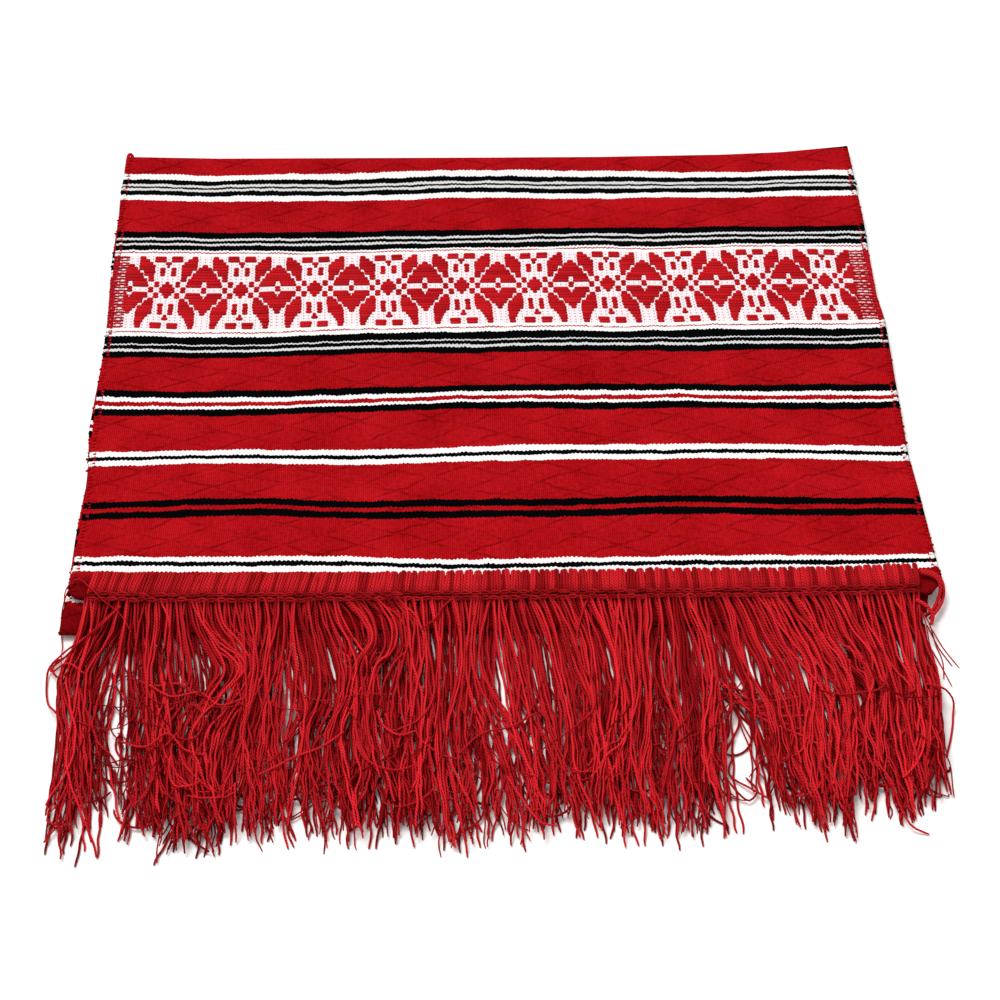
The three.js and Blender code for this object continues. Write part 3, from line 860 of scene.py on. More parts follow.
def makeMotifs(name, layer, tree, material):
    rng = random.Random(motif["seed"])
    face = 1 if layer == "upper" else -1
    tip = motif["tipLength"]
    paths = []
    for start, stop, length in floatRuns():
        start -= rng.uniform(*motif["overlap"])
        stop += rng.uniform(*motif["overlap"])
        if layer == "lower":
            length = 2 * weave["middle"] - length
        half = bandPick * motif["fullness"]["long" if stop - start > motif["longFrom"] else "short"]
        inner = np.linspace(start + tip, stop - tip, max(2, int((stop - start) / 4.5) + 1))
        xs = np.concatenate([[start], inner, [stop]])
        x, y, z, _ = threadPlace(xs, np.full(len(xs), length), layer)
        sink = np.zeros(len(xs))
        sink[0] = sink[-1] = motif["sink"]
        lift = cloth["thickness"] / 2 + motif["lift"] - sink + rng.uniform(*motif["liftUneven"])
        radius = np.full(len(xs), half)
        radius[0] = radius[-1] = half * motif["tipShare"]
        paths.append((np.stack([x, y, z + face * lift], axis=1), radius, rng.uniform(0.1, 1)))
    return runTree(name, pathObject(paths), tree, Sides=6, Flatness=motif["height"], Material=material)


# Where the motifs stop, each pick of red weft runs on to the side as a thin wavy thread
bandEnds = {
    "radius": 0.72,
    "thicker": 0.35,  # by how much, where it reaches the side
    "onLower": 0.55,  # how thick it is on the lower layer, as a share
    "wave": 0.22,
    "stray": 0.2,  # how far a pick strays up or down the cloth
    "overlap": 1.2,  # how far it starts under the last float
    "beforeEdge": 0.2,
    "lift": 0.02,
    "points": 9,
    "flatness": 0.6,
    "seed": 8,
}


def makeBandEnds(tree, material):
    rng = random.Random(bandEnds["seed"])
    paths = []
    picks = len(motif["chart"])
    for layer, face in (("upper", 1), ("lower", -1)):
        for side, limit in ((-1, motif["from"]), (1, motif["to"])):
            for number in range(picks):
                length = weave["bandFrom"] + weave["middle"] + (number + 0.5) * bandPick
                if layer == "lower":
                    length = 2 * weave["middle"] - length
                edge = side * (cloth["width"] / 2 - bandEnds["beforeEdge"])
                xs = np.linspace(limit - side * bandEnds["overlap"], edge, bandEnds["points"])
                waves = bandEnds["wave"] * np.sin(xs * 2 * math.pi / (2 * weave["pick"]) + number * math.pi)
                stray = rng.uniform(-bandEnds["stray"], bandEnds["stray"])
                x, y, z, _ = threadPlace(xs, length + waves + stray, layer)
                heights = z + face * (cloth["thickness"] / 2 + bandEnds["lift"])
                thicker = np.linspace(0, 1, len(xs)) ** 4 * bandEnds["thicker"]
                radius = np.full(len(xs), bandEnds["radius"]) + thicker
                radius *= rng.uniform(0.8, 1.2) * (1 if layer == "upper" else bandEnds["onLower"])
                paths.append((np.stack([x, y, heights], axis=1), radius, rng.random()))
    ear, _ = evenPath(selvedge["ear"], 1.2)
    paths.append((ear, selvedge["earRadius"], 0.3))
    return runTree(
        "band_ends", pathObject(paths), tree, Sides=5, Flatness=bandEnds["flatness"], Material=material
    )


# Weft turning back round the outermost warp: a bead every pick down each side of each layer
selvedge = {
    "radius": 0.74,
    "inset": 0.7,
    "bulge": 0.42,  # how unevenly the beads stand out
    "twist": 0.2,
    "wiggle": {"upper": 0.5, "lower": 0.25},
    "press": {"upper": 1.0, "lower": 0.35},
    "weaveShare": 0.9975,  # keeps a bead's colour just inside the cloth's side
    "bead": [(-1.7, 0, 0.42), (-0.5, 0.1, 0.62), (0.15, 0.2, 0), (-0.5, 0.1, -0.62), (-1.7, 0, -0.42)],
    # the weft end that stands up at the far left corner
    "ear": [(-198.6, 283, 4.4), (-199.4, 286.5, 4.9), (-198.4, 289, 5.1), (-196.8, 287, 4.7)],
    "earRadius": 1.0,
    "seed": 3,
}


def makeSelvedges(tree, material):
    rng = np.random.default_rng(selvedge["seed"])
    stitch = stitchObject("weft_turn", [selvedge["bead"]], selvedge["radius"])
    made = []
    for layer, sheet in (("upper", upperSheet), ("lower", lowerSheet)):
        for side in (-1, 1):
            edge = np.array([side * cloth["width"] / 2])
            turn, end = turnPlace(edge)[0], readTable(cloth[layer + "End"], edge)[0]
            count = int((turn - end) / weave["pick"])
            xs = np.full(count, edge[0])
            x, y, z, length = sheet(xs, end + (turn - end) * np.linspace(0.004, 1, count))
            outwards = selvedge["inset"] + rng.normal(0, selvedge["bulge"], count)
            points = np.stack([x - side * outwards, y, z], axis=1)
            turns = np.zeros((count, 3))
            turns[:, 2] = (0 if side > 0 else math.pi) + rng.normal(0, selvedge["twist"], count)
            woven = np.stack([xs * selvedge["weaveShare"], length, xs * 0], axis=1)
            guide = guideObject(points, turns, rng.random(count), woven)
            made.append(runTree(
                f"selvedge_{layer}_{'left' if side < 0 else 'right'}", guide, tree, Stitch=stitch,
                Stretch=0.0, Wiggle=selvedge["wiggle"][layer] * mm, Press=selvedge["press"][layer],
                Seed=selvedge["seed"] + side, Sides=5, Flatness=1.0, Material=material,
            ))
    bpy.data.objects.remove(stitch)
    return made


# Headings: the looped edge of the trim, held by two rows of chain stitch
heading = {
    "from": -193,
    "to": 191,
    "depth": 18.2,
    "upperTop": -1.9,
    "lowerTop": -16,
    "aboveCloth": 1.75,  # from the middle of the upper layer to the middle of the trim on it
    "lowerMiddle": 1.12,  # height of the middle of the trim under the lower layer
    "bundle": 4.45,  # two loops caught together by one chain stitch
    "footPitch": 1.6,
    "topPitch": 2.25,
    "loopRadius": 0.7,
    "uneven": 0.2,
    "wiggle": {"upper": 0.7, "lower": 0.2},
    "press": {"upper": 1.0, "lower": 0.4},
    "seed": 12,
    # x, and how far the loops lean over there
    "lean": [(-200, -0.22), (-110, -0.24), (-60, -0.14), (0, -0.04), (90, 0), (200, 0.03)],
    "chainFoot": (4.8, 1.8),  # rows of chain stitch, up from the foot of the loops
    "chainRadius": 0.53,
    # the loop and the link, from the middle of the trim: across, up the trim, out of it, and how much painted
    # shade it gets where it lies deep
    "loop": [
        (-0.36, 1.6, -0.9, 0.8), (-0.38, 3.3, -0.5, 0.7), (-0.4, 4.8, -0.7, 0.62), (-0.56, 6.3, 0.3, 0.25),
        (-0.62, 9.6, 0.9, 0), (-0.62, 13.4, 0.9, 0), (-0.64, 16.6, 0.7, 0.05), (-0.42, 17.4, 0.45, 0.12),
        (0.05, 17.65, 0.3, 0.15), (0.44, 17.35, 0.4, 0.12), (0.66, 16.5, 0.6, 0.05), (0.64, 13.4, 0.75, 0),
        (0.62, 9.6, 0.75, 0), (0.54, 6.3, 0.2, 0.25), (0.4, 4.8, -0.7, 0.62), (0.38, 3.3, -0.5, 0.7),
        (0.36, 1.6, -0.9, 0.8),
    ],
    "links": [
        [
            (-0.9, 0.1, -0.4, 0.5), (0.8, 0.78, 0.3, 0.2), (2.4, 0.72, 0.6, 0), (3.8, 0.25, 0.5, 0.1),
            (5.1, -0.1, -0.4, 0.5),
        ],
        [
            (-0.8, -0.1, -0.5, 0.6), (0.8, -0.62, 0.1, 0.35), (2.4, -0.7, 0.25, 0.2), (3.8, -0.35, 0.2, 0.3),
            (5.0, 0.1, -0.5, 0.6),
        ],
    ],
}


def trimHeight(x, y, place):
    if place == "lower":
        return np.full_like(x, heading["lowerMiddle"])
    return upperHeight(x, y) + heading["aboveCloth"]


def bundleCentres():
    half = heading["bundle"] / 2
    return np.arange(heading["from"], heading["to"] - half, heading["bundle"]) + half


def makeHeading(place, tree, material):
    rng = np.random.default_rng(heading["seed"])
    upper = place == "upper"
    face = 1 if upper else -1
    foot = heading[place + "Top"] - heading["depth"]
    centres = bundleCentres()
    common = {"Wiggle": heading["wiggle"][place] * mm, "Press": heading["press"][place], "Flatness": 1.0}

    def row(xs, y, out):
        y = y + np.zeros_like(xs)
        z = trimHeight(xs, y, place) + face * out
        tilt = (trimHeight(xs, y + 9, place) - trimHeight(xs, y, place)) / 9
        over = np.full_like(xs, 0 if upper else math.pi)
        turns = np.stack([tilt * face, over, np.zeros_like(xs)], axis=1)
        return np.stack([xs, y, z], axis=1), turns

    def stitchFrom(name, paths, radius):
        sunkShade = [point[3] for path in paths for point in path]
        return stitchObject(name, [[point[:3] for point in path] for path in paths], radius, sunkShade)

    pieces = []
    loop = stitchFrom("loop", [heading["loop"]], heading["loopRadius"])
    step = np.tile([-0.5, 0.5], len(centres))
    loopCount = len(step)
    xs = np.repeat(centres, 2) + step * heading["footPitch"] + rng.normal(0, 0.08, loopCount)
    bundlesDown = np.repeat(rng.normal(0, 0.16, len(centres)), 2)
    points, turns = row(xs, foot + bundlesDown + rng.normal(0, 0.1, loopCount), 0)
    if upper:
        points[:, 2] += rng.normal(0, heading["uneven"], loopCount)
    spread = step * (heading["topPitch"] - heading["footPitch"]) / (heading["depth"] / 2)
    sway = np.repeat(rng.normal(0, 0.011, len(centres)), 2)
    turns[:, 2] = readTable(heading["lean"], xs) - spread + sway + rng.normal(0, 0.01, loopCount)
    guide = guideObject(points, turns, rng.uniform(-0.15, 0.85, loopCount))
    pieces.append(runTree(
        f"heading_{place}_loops", guide, tree, Stitch=loop, Stretch=0.007, Seed=4, Sides=6 if upper else 4,
        Material=material, **common,
    ))
    bpy.data.objects.remove(loop)
    link = stitchFrom("link", heading["links"], heading["chainRadius"])
    for number, up in enumerate(heading["chainFoot"]):
        xs = centres[:-1] + rng.normal(0, 0.25, len(centres) - 1)
        points, turns = row(xs, foot + up + rng.normal(0, 0.15, len(xs)), 0.3 if upper else 0.1)
        turns[:, 2] = rng.normal(-0.06, 0.09, len(xs)) + (0 if upper else math.pi)
        # Painted shade: the chain links get a darker shade range than the loops, for the gap they lie in
        guide = guideObject(points, turns, rng.uniform(-0.1, 0.45, len(xs)))
        pieces.append(runTree(
            f"heading_{place}_chain_{number + 1}", guide, tree, Stitch=link, Stretch=0.15, Seed=21 + number,
            Sides=5, Material=material, **common,
        ))
    bpy.data.objects.remove(link)
    return pieces


# Fringe yarns. Guides are listed yarns: x at the root, then x at these places down the fringe, then the
# y of the tip. A guide marked apart starts a new lock, so that no yarn is laid across the gap before it.
fringe = {
    "stations": (-17.6, -30, -42, -55, -70, -90, -110),
    "lowerRoot": -33,
    "rootSunk": 0.9,  # how far below the middle of the upper trim its yarns start
    "lowerRootHeight": 1.0,
    "fall": {"upper": 30, "lower": 12},  # how far from its root a yarn comes down to the table
    "perBundle": {"upper": 6, "lower": 6},  # yarns that hang from one bundle of the heading
    "pinch": {"upper": 0.55, "lower": 0.7},  # how far apart they are at the root
    # x from and to where yarns are missing, and the share of them that is left
    "thinned": {"upper": [(-187, -150, 0.9), (86, 96, 0.7)], "lower": [(-40, 0, 0.85)]},
    "split": {"upper": 0.3, "lower": 0.4},  # how many of the yarns have come apart into their plies
    "wild": {"upper": (0.8, 1.2, 2.0, 3.2, 6.0), "lower": (1.5, 2.8, 4.5, 8.0)},
    "wander": (0, 2.4, 3.2, 3.0),  # how far a yarn strays by itself at each third of its length
    "crimp": (0.12, 0.26),  # how far it waves at its root and at its tip
    "wisps": ((13, 0.34, 0.4), (4, 0.5, 0.5)),  # yarns that end together, how closely, and from where down
    "shorter": 7.5,  # how much shorter than the longest the yarns are, on average
    # y, and how far out to the left and right the fringe reaches
    "limits": [(-140, -197, 184), (-80, -198, 186), (-50, -203, 192), (-20, -203, 200)],
    "shade": {"upper": (-0.25, 0.95), "lower": (-0.35, 0.4)},  # painted shade, from the first laid to the last laid yarn, which lies on top
    # thin strands lying crosswise: x from and to, y from and to, how many
    "tangles": [
        (-180, -140, -38, -104, 40), (-140, -70, -56, -104, 18), (-70, 30, -60, -104, 18),
        (30, 100, -56, -100, 14), (100, 180, -48, -96, 24),
    ],
    "radius": 0.54,
    "plyRadius": 0.36,
    "strayRadius": 0.5,
    "step": 2.3,  # length of one piece of a yarn's path
    "nest": 0.35,  # how far a yarn sinks between those under it
    "curled": 0.08,  # how many of the yarns have a curled tip
    "lowest": -136,  # y that no crosswise strand goes past
    "seed": 41,
    # single yarns that lie across the others or curl away
    "strays": [
        [(-176, -22), (-188, -36), (-201, -45), (-205, -49), (-204, -54), (-198, -51), (-189, -57)],
        [(-180, -26), (-190, -38), (-199, -46), (-204, -52), (-200, -58), (-196, -54)],
        [(-199, -46), (-205, -50), (-206, -60), (-204, -70), (-197, -81), (-195, -91), (-196, -110)],
        [
            (-150, -96), (-145, -88), (-144, -80), (-141, -75), (-136, -79), (-135, -86), (-138, -92),
            (-147, -91),
        ],
        [(-26, -19), (-30, -23), (-34, -30), (-41, -37)],
        [(35, -21), (30, -39), (30, -53), (35, -67), (34, -82), (26, -89)],
        [(-24, -100), (-16, -92), (0, -86), (10, -80)],
        [(-4, -112), (1, -122), (5, -130), (10, -136), (16, -137)],
        [(155, -30), (159, -45), (167, -60), (162, -73), (146, -74), (136, -70)],
        [(84, -104), (88, -112), (93, -120), (99, -124), (103, -119), (99, -112)],
        [(95, -100), (92, -110), (100, -118), (108, -124)],
        [(183, -70), (190, -72), (195, -76), (194.5, -82), (192, -92), (188, -103)],
        [(154, -108), (160, -119), (163, -130), (167, -138), (174, -141)],
        [(-160, -64), (-150, -70), (-138, -68), (-128, -75), (-118, -72)],
        [(-170, -92), (-158, -96), (-150, -90), (-142, -98), (-133, -101)],
        [(-110, -110), (-98, -104), (-84, -98), (-74, -90)],
        [(-60, -78), (-56, -88), (-50, -92), (-43, -90)],
    ],
    # strands crossing under the upper fringe
    "underRadius": 0.55,
    "unders": [
        [(93, -63), (101, -69), (111, -71), (122, -70), (131, -68)],
        [(92, -65), (102, -72.5), (113, -74.5), (124, -73), (132, -71.5)],
        [(94, -70), (105, -77), (116, -78.5), (127, -76.5)],
        [(95, -72), (106, -80), (118, -83), (129, -82)],
        [(92, -62), (100, -74), (111, -83), (123, -89), (134, -95)],
        [(94, -66), (103, -79), (115, -88), (127, -94), (137, -101)],
        [(-168, -58), (-158, -63), (-148, -62), (-138, -67)],
        [(-132, -44), (-124, -50), (-114, -54), (-106, -60)],
    ],
    # weft ends round the corners of the hems, thick at the right, then hairs
    "ringRadius": 0.95,
    "rings": [
        [(191, -6), (197, -7.5), (200.6, -12), (200.8, -17), (199, -22), (196, -26.5), (192, -31)],
        [(191, -8), (196, -9.5), (198.9, -13), (199, -17), (197.2, -21.5), (194.4, -26), (190.5, -29.5)],
        [(186, -24), (190, -27), (193, -31), (192, -35)],
    ],
    "hairRadius": 0.3,
    "hairs": [
        [(-199, -9), (-197, -7), (-190.5, -12.5), (-184, -19.5), (-176, -26), (-170, -36)],
        [(-193, -5.5), (-199, -8), (-202.3, -14), (-201.5, -20), (-200, -26)],
        [(-200, -10), (-203, -19), (-201, -41), (-198, -68)],
        [(187, -28), (189, -36), (190, -48), (191, -60)],
        [(188, -30), (192, -40), (195, -52), (194, -62)],
        [(191, -33), (194, -44), (199, -55)],
        [(192, -34), (197, -46), (202, -56)],
        [(190, -44), (193, -52), (197, -66)],
    ],
    "upperGuides": [
        # root, -30, -42, -55, -70, -90, -110, tip, tip y, apart
        (-191, -192.5, -197, -201, -199, -194, -194, -192, -140, 1),
        (-185.5, -186, -189, -193, -191, -188, -186, -182, -142, 0),
        (-175, -177, -182, -187, -186, -183, -177, -175, -131, 0),
        (-172, -172, -172, -170.5, -168.5, -170, -166, -158, -145, 0),
        (-168, -168, -167.5, -167, -165, -162, -160, -158, -138, 0),
        (-164, -164, -164, -163.5, -161, -156, -152, -148.5, -138, 0),
        (-158, -156, -157, -158, -155, -151, -147.5, -145, -134, 0),
        (-148.5, -147.5, -145, -141.5, -141.5, -147, -143, -135, -141, 0),
        (-145.5, -141, -133, -123, -132, -142, -138, -132, -136, 1),
        (-139, -136, -127, -119, -127, -135, -134, -130, -141, 0),
        (-131.5, -130, -123, -118, -121.5, -128.5, -129, -126, -138, 0),
        (-124, -122, -118.5, -116, -117, -120.5, -125, -123, -142, 1),
        (-112, -110.5, -111.5, -113, -116, -120, -116, -115, -138, 0),
        (-103.5, -102, -102, -104, -105, -107, -109, -107.5, -139, 0),
        (-99, -97, -93, -89.5, -91, -98, -97, -95, -141, 1),
        (-88.5, -87.5, -84.5, -81.5, -79, -86, -86, -85.5, -119, 0),
        (-83, -79, -73, -69.5, -73, -79.5, -78, -73.5, -141, 0),
        (-75, -67, -64, -70, -69, -69, -67, -72, -141, 1),
        (-68, -59, -57, -64, -65, -63.5, -62, -62, -140, 0),
        (-61.5, -51, -49, -57, -60, -59, -57, -53.5, -140, 0),
        (-54, -46, -44, -46, -48.5, -49.5, -50.5, -48, -139, 0),
        (-46, -44, -42.5, -41.5, -41, -42, -44, -46, -124, 1),
        (-37, -36.5, -35.5, -35.5, -36, -37, -36, -33, -140, 0),
        (-28, -26, -26, -26, -26.5, -27, -26, -22.5, -143, 0),
        (-18.5, -17.5, -17, -17.5, -18, -16.5, -13.5, -15, -128, 0),
        (-11, -12.5, -13.5, -13, -9, -1.5, 4, 5, -141, 1),
        (-5.5, -5.5, -4.5, -2, 1, 5, 9, 10.5, -129, 1),
        (3, 3.5, 6, 6, 8, 13, 16, 19, -136, 0),
        (10.5, 16.5, 20.5, 23.5, 26, 27, 24, 27, -142, 0),
        (21.5, 25, 28, 29, 30, 31.5, 34, 35, -137, 0),
        (31, 35, 38, 40, 41, 41, 41.5, 39.5, -138, 1),
        (38.5, 41.5, 44.5, 47, 48, 46.5, 45, 46, -136, 0),
        (52.5, 53.5, 54.5, 54.5, 55, 53, 45, 38, -120, 1),
        (60, 60, 58, 58, 58, 56, 54, 57.5, -136, 0),
        (70, 72, 72.5, 71.5, 71, 73, 70, 69.5, -138, 1),
        (79.5, 81, 84, 84.5, 85, 83.5, 82.5, 84, -139, 0),
        (88, 91, 93, 94.5, 93.5, 89.5, 86, 86.5, -138, 0),
        (97, 101.5, 103, 105.5, 107.5, 108.5, 109, 112, -136, 1),
        (107.5, 112.5, 116, 121.5, 123.5, 123, 124, 128, -137, 0),
        (116.5, 122, 127, 132.5, 134.5, 134, 132.5, 131.5, -131, 0),
        (126, 131, 136, 140, 142.5, 142.5, 139.5, 141, -130, 0),
        (135.5, 140.5, 143.5, 149, 151.5, 149.5, 150, 149, -127, 0),
        (144.5, 149, 151, 154.5, 158, 155.5, 154.5, 156, -128, 0),
        (154, 156, 159, 162.5, 164, 160, 160.5, 162, -128, 0),
        (164.5, 164.5, 166.5, 167.5, 168.5, 168, 166.5, 167, -131, 0),
        (174, 176, 176, 175.5, 177, 175, 173, 171, -129, 0),
        (182, 181.5, 181.5, 181, 182, 180.5, 178, 177.5, -127, 0),
        (188.5, 187, 187, 187, 188.5, 186.5, 183, 180, -126, 0),
    ],
    "lowerGuides": [
        (-190, -191, -194, -197, -199, -198, -197, -195, -143, 1),
        (-184, -185, -187, -189, -190, -189, -188, -186, -139, 0),
        (-172, -174, -178, -182, -184, -184, -182, -180, -132, 0),
        (-168, -167, -166, -164, -162, -158, -158, -160, -144, 0),
        (-158, -157, -156, -154, -152, -149, -150, -152, -148, 0),
        (-130, -130, -128, -124, -122, -124, -124, -122, -142, 0),
        (-100, -99, -98, -96, -96, -97, -96, -95, -137, 0),
        (-70, -70, -68, -66, -65, -66, -66, -66, -141, 0),
        (-40, -40, -38, -36, -36, -37, -36, -36, -142, 0),
        (-14, -14, -14, -14, -14, -13, -12, -10, -141, 0),
        (8, 8, 9, 11, 12, 11, 11, 11, -140, 0),
        (35, 36, 38, 40, 41, 41, 40, 39, -138, 0),
        (60, 60, 61, 62, 63, 64, 64, 63, -137, 0),
        (86, 86, 87, 88, 88, 85, 81, 79, -135, 0),
        (94, 94.5, 95, 96, 100, 108, 111, 112, -136, 1),
        (120, 122, 126, 129, 131, 132, 131, 130, -134, 0),
        (150, 151, 154, 156, 158, 158, 157, 155, -132, 0),
        (176, 177, 178, 179, 180, 179, 178, 176, -129, 0),
        (190, 190, 190, 191, 191, 190, 188, 186, -128, 0),
    ],
}


# Smooth values between rows of numbers, by a Catmull-Rom spline
def splineThrough(at, rows, places):
    at = np.asarray(at, float)
    rows = np.asarray(rows, float)
    slopes = np.gradient(rows, at, axis=0)
    index = np.clip(np.searchsorted(at, places) - 1, 0, len(at) - 2)
    width = at[index + 1] - at[index]
    t = ((places - at[index]) / width)[:, None]
    before, after = rows[index], rows[index + 1]
    slopeBefore, slopeAfter = slopes[index] * width[:, None], slopes[index + 1] * width[:, None]
    return (
        (2 * t ** 3 - 3 * t ** 2 + 1) * before + (t ** 3 - 2 * t ** 2 + t) * slopeBefore
        + (-2 * t ** 3 + 3 * t ** 2) * after + (t ** 3 - t ** 2) * slopeAfter
    )


# Points of a smooth line through the given ones, at even steps
def evenPath(points, step):
    points = np.asarray(points, float)
    chord = np.concatenate([[0], np.cumsum(np.linalg.norm(np.diff(points, axis=0), axis=1))])
    fine = splineThrough(chord, points, np.linspace(0, chord[-1], 200))
    length = np.concatenate([[0], np.cumsum(np.linalg.norm(np.diff(fine, axis=0), axis=1))])
    places = np.linspace(0, length[-1], max(3, int(round(length[-1] / step)) + 1))
    return np.stack([np.interp(places, length, fine[:, i]) for i in range(fine.shape[1])], axis=1), places


# Yarns are laid one after another on a map of heights, so that each lies on those before it
class Pile:
    cell = 0.8
    left, near, wide, deep = -225, -160, 450, 150

    def __init__(self):
        self.height = np.zeros((int(self.wide / self.cell), int(self.deep / self.cell)))
        xs = self.left + (np.arange(self.height.shape[0]) + 0.5) * self.cell
        ys = self.near + (np.arange(self.height.shape[1]) + 0.5) * self.cell
        clothTop = cloth["lowerRaised"] + cloth["thickness"] / 2
        covered = (ys[None, :] > readTable(cloth["lowerEnd"], xs)[:, None]) & (np.abs(xs) < 197)[:, None]
        self.cloth = np.where(covered, clothTop, 0.0)

    def cells(self, x, y):
        column = np.clip(((x - self.left) / self.cell).astype(int), 0, self.height.shape[0] - 1)
        row = np.clip(((y - self.near) / self.cell).astype(int), 0, self.height.shape[1] - 1)
        return column, row

    # Heights of a yarn's middle along its path, no lower than free
    def lay(self, path, radius, free):
        offsets = ((0, 0), (0.7, 0), (-0.7, 0), (0, 0.5))
        support = np.zeros(len(path))
        for dx, dy in offsets:
            support = np.maximum(support, self.height[self.cells(path[:, 0] + dx * radius, path[:, 1] + dy)])
        raised = np.maximum(support, np.concatenate([support[1:], support[-1:]]))
        raised = np.maximum(raised, np.concatenate([support[:1], support[:-1]]))
        padded = np.pad(raised, 3, mode="edge")
        kernel = np.array([1, 3, 5, 6, 5, 3, 1]) / 24
        z = np.maximum(np.convolve(padded, kernel, mode="valid") * 0.5 + raised * 0.5 - 0.15, support * 0.9)
        z = np.maximum(z + radius * 0.95, np.maximum(free, radius * 1.03))
        top = z + radius * (1 - 2 * fringe["nest"])
        for dx in (-0.6, 0, 0.6):
            where = self.cells(path[:, 0] + dx * radius, path[:, 1])
            np.maximum.at(self.height, where, top)
        return z


def guideRow(guides, root):
    roots = np.array([row[0] for row in guides])
    after = int(np.clip(np.searchsorted(roots, root), 1, len(guides) - 1))
    before = after - 1
    share = float(np.clip((root - roots[before]) / (roots[after] - roots[before]), 0, 1))
    if guides[after][9]:
        share = float(round(share))  # a gap: follow the nearer side of it
    row = np.array(guides[before][:9]) * (1 - share) + np.array(guides[after][:9]) * share
    row[:8] += root - row[0]
    return row


# The way of one yarn over the table, from its root to its tip
def yarnPath(which, root, habit, rng):
    row = guideRow(fringe[which + "Guides"], root)
    tip = row[8] + habit["tip"] + rng.gauss(0, 2) + min(rng.expovariate(1 / fringe["shorter"]), 30)
    ys = np.array([*fringe["stations"], tip])
    straight = row[0] + (row[7] - row[0]) * (ys[0] - ys) / (ys[0] - ys[-1])
    xs = straight + (row[:8] - straight) * rng.uniform(0.6, 1.15)
    if which == "lower":
        ys, xs = np.delete(ys, 1), np.delete(xs, 1)
        ys[0] = fringe["lowerRoot"]
    inside = ys[:-1] > ys[-1] + 8
    ys, xs = np.append(ys[:-1][inside], ys[-1]), np.append(xs[:-1][inside], xs[-1])
    reach = (ys[0] - ys) / 120
    fan = rng.gauss(0, 1) * rng.choice(fringe["wild"][which])
    xs = xs + habit["lean"] * reach + fan * reach ** rng.uniform(0.9, 1.6)
    path, places = evenPath(np.stack([xs, ys], axis=1), fringe["step"])
    t = places / places[-1]
    strays = np.array([[rng.gauss(0, 1) * amount] for amount in fringe["wander"]])
    path[:, 0] += splineThrough(np.linspace(0, 1, 4), strays, t)[:, 0]
    least, most = (amount * rng.uniform(0.4, 1.5) for amount in fringe["crimp"])
    waves = np.sin(places * 2 * math.pi / rng.uniform(9, 17) + rng.uniform(0, 6.28))
    path[:, 0] += (least + most * t * t) * waves
    for middle, (_, closely, fromHere) in zip(habit["middles"], fringe["wisps"]):
        path[:, 0] += (middle - root) * closely * smoothstep(t, fromHere, 1)
    path[:, 0] += habit["pinched"] * (1 - smoothstep(places, 1, 16))
    if rng.random() < fringe["curled"]:
        curlTip(path, rng)
    keepInside(path)
    return path


# Draws a strand that strays past the fringe's sides back towards them
def keepInside(path):
    left, right = (readTable(sorted(fringe["limits"]), path[:, 1], side) for side in (1, 2))
    inside = np.clip(path[:, 0], left, right)
    path[:, 0] = inside + np.tanh((path[:, 0] - inside) / 12) * 4


# Bends the end of a yarn round
def curlTip(path, rng):
    start = len(path) - rng.randint(6, 16)
    bend = rng.uniform(0.6, 2.6) * rng.choice((-1, 1)) / (len(path) - start)
    step = path[start] - path[start - 1]
    for number in range(start, len(path)):
        bend *= 1.04
        cosine, sine = math.cos(bend), math.sin(bend)
        step = np.array([step[0] * cosine - step[1] * sine, step[0] * sine + step[1] * cosine])
        path[number] = path[number - 1] + step


# A yarn's radii, thinner at its tip
def taper(count, radius):
    radii = np.full(count, radius)
    radii[-2:] *= (0.95, 0.7)
    return radii


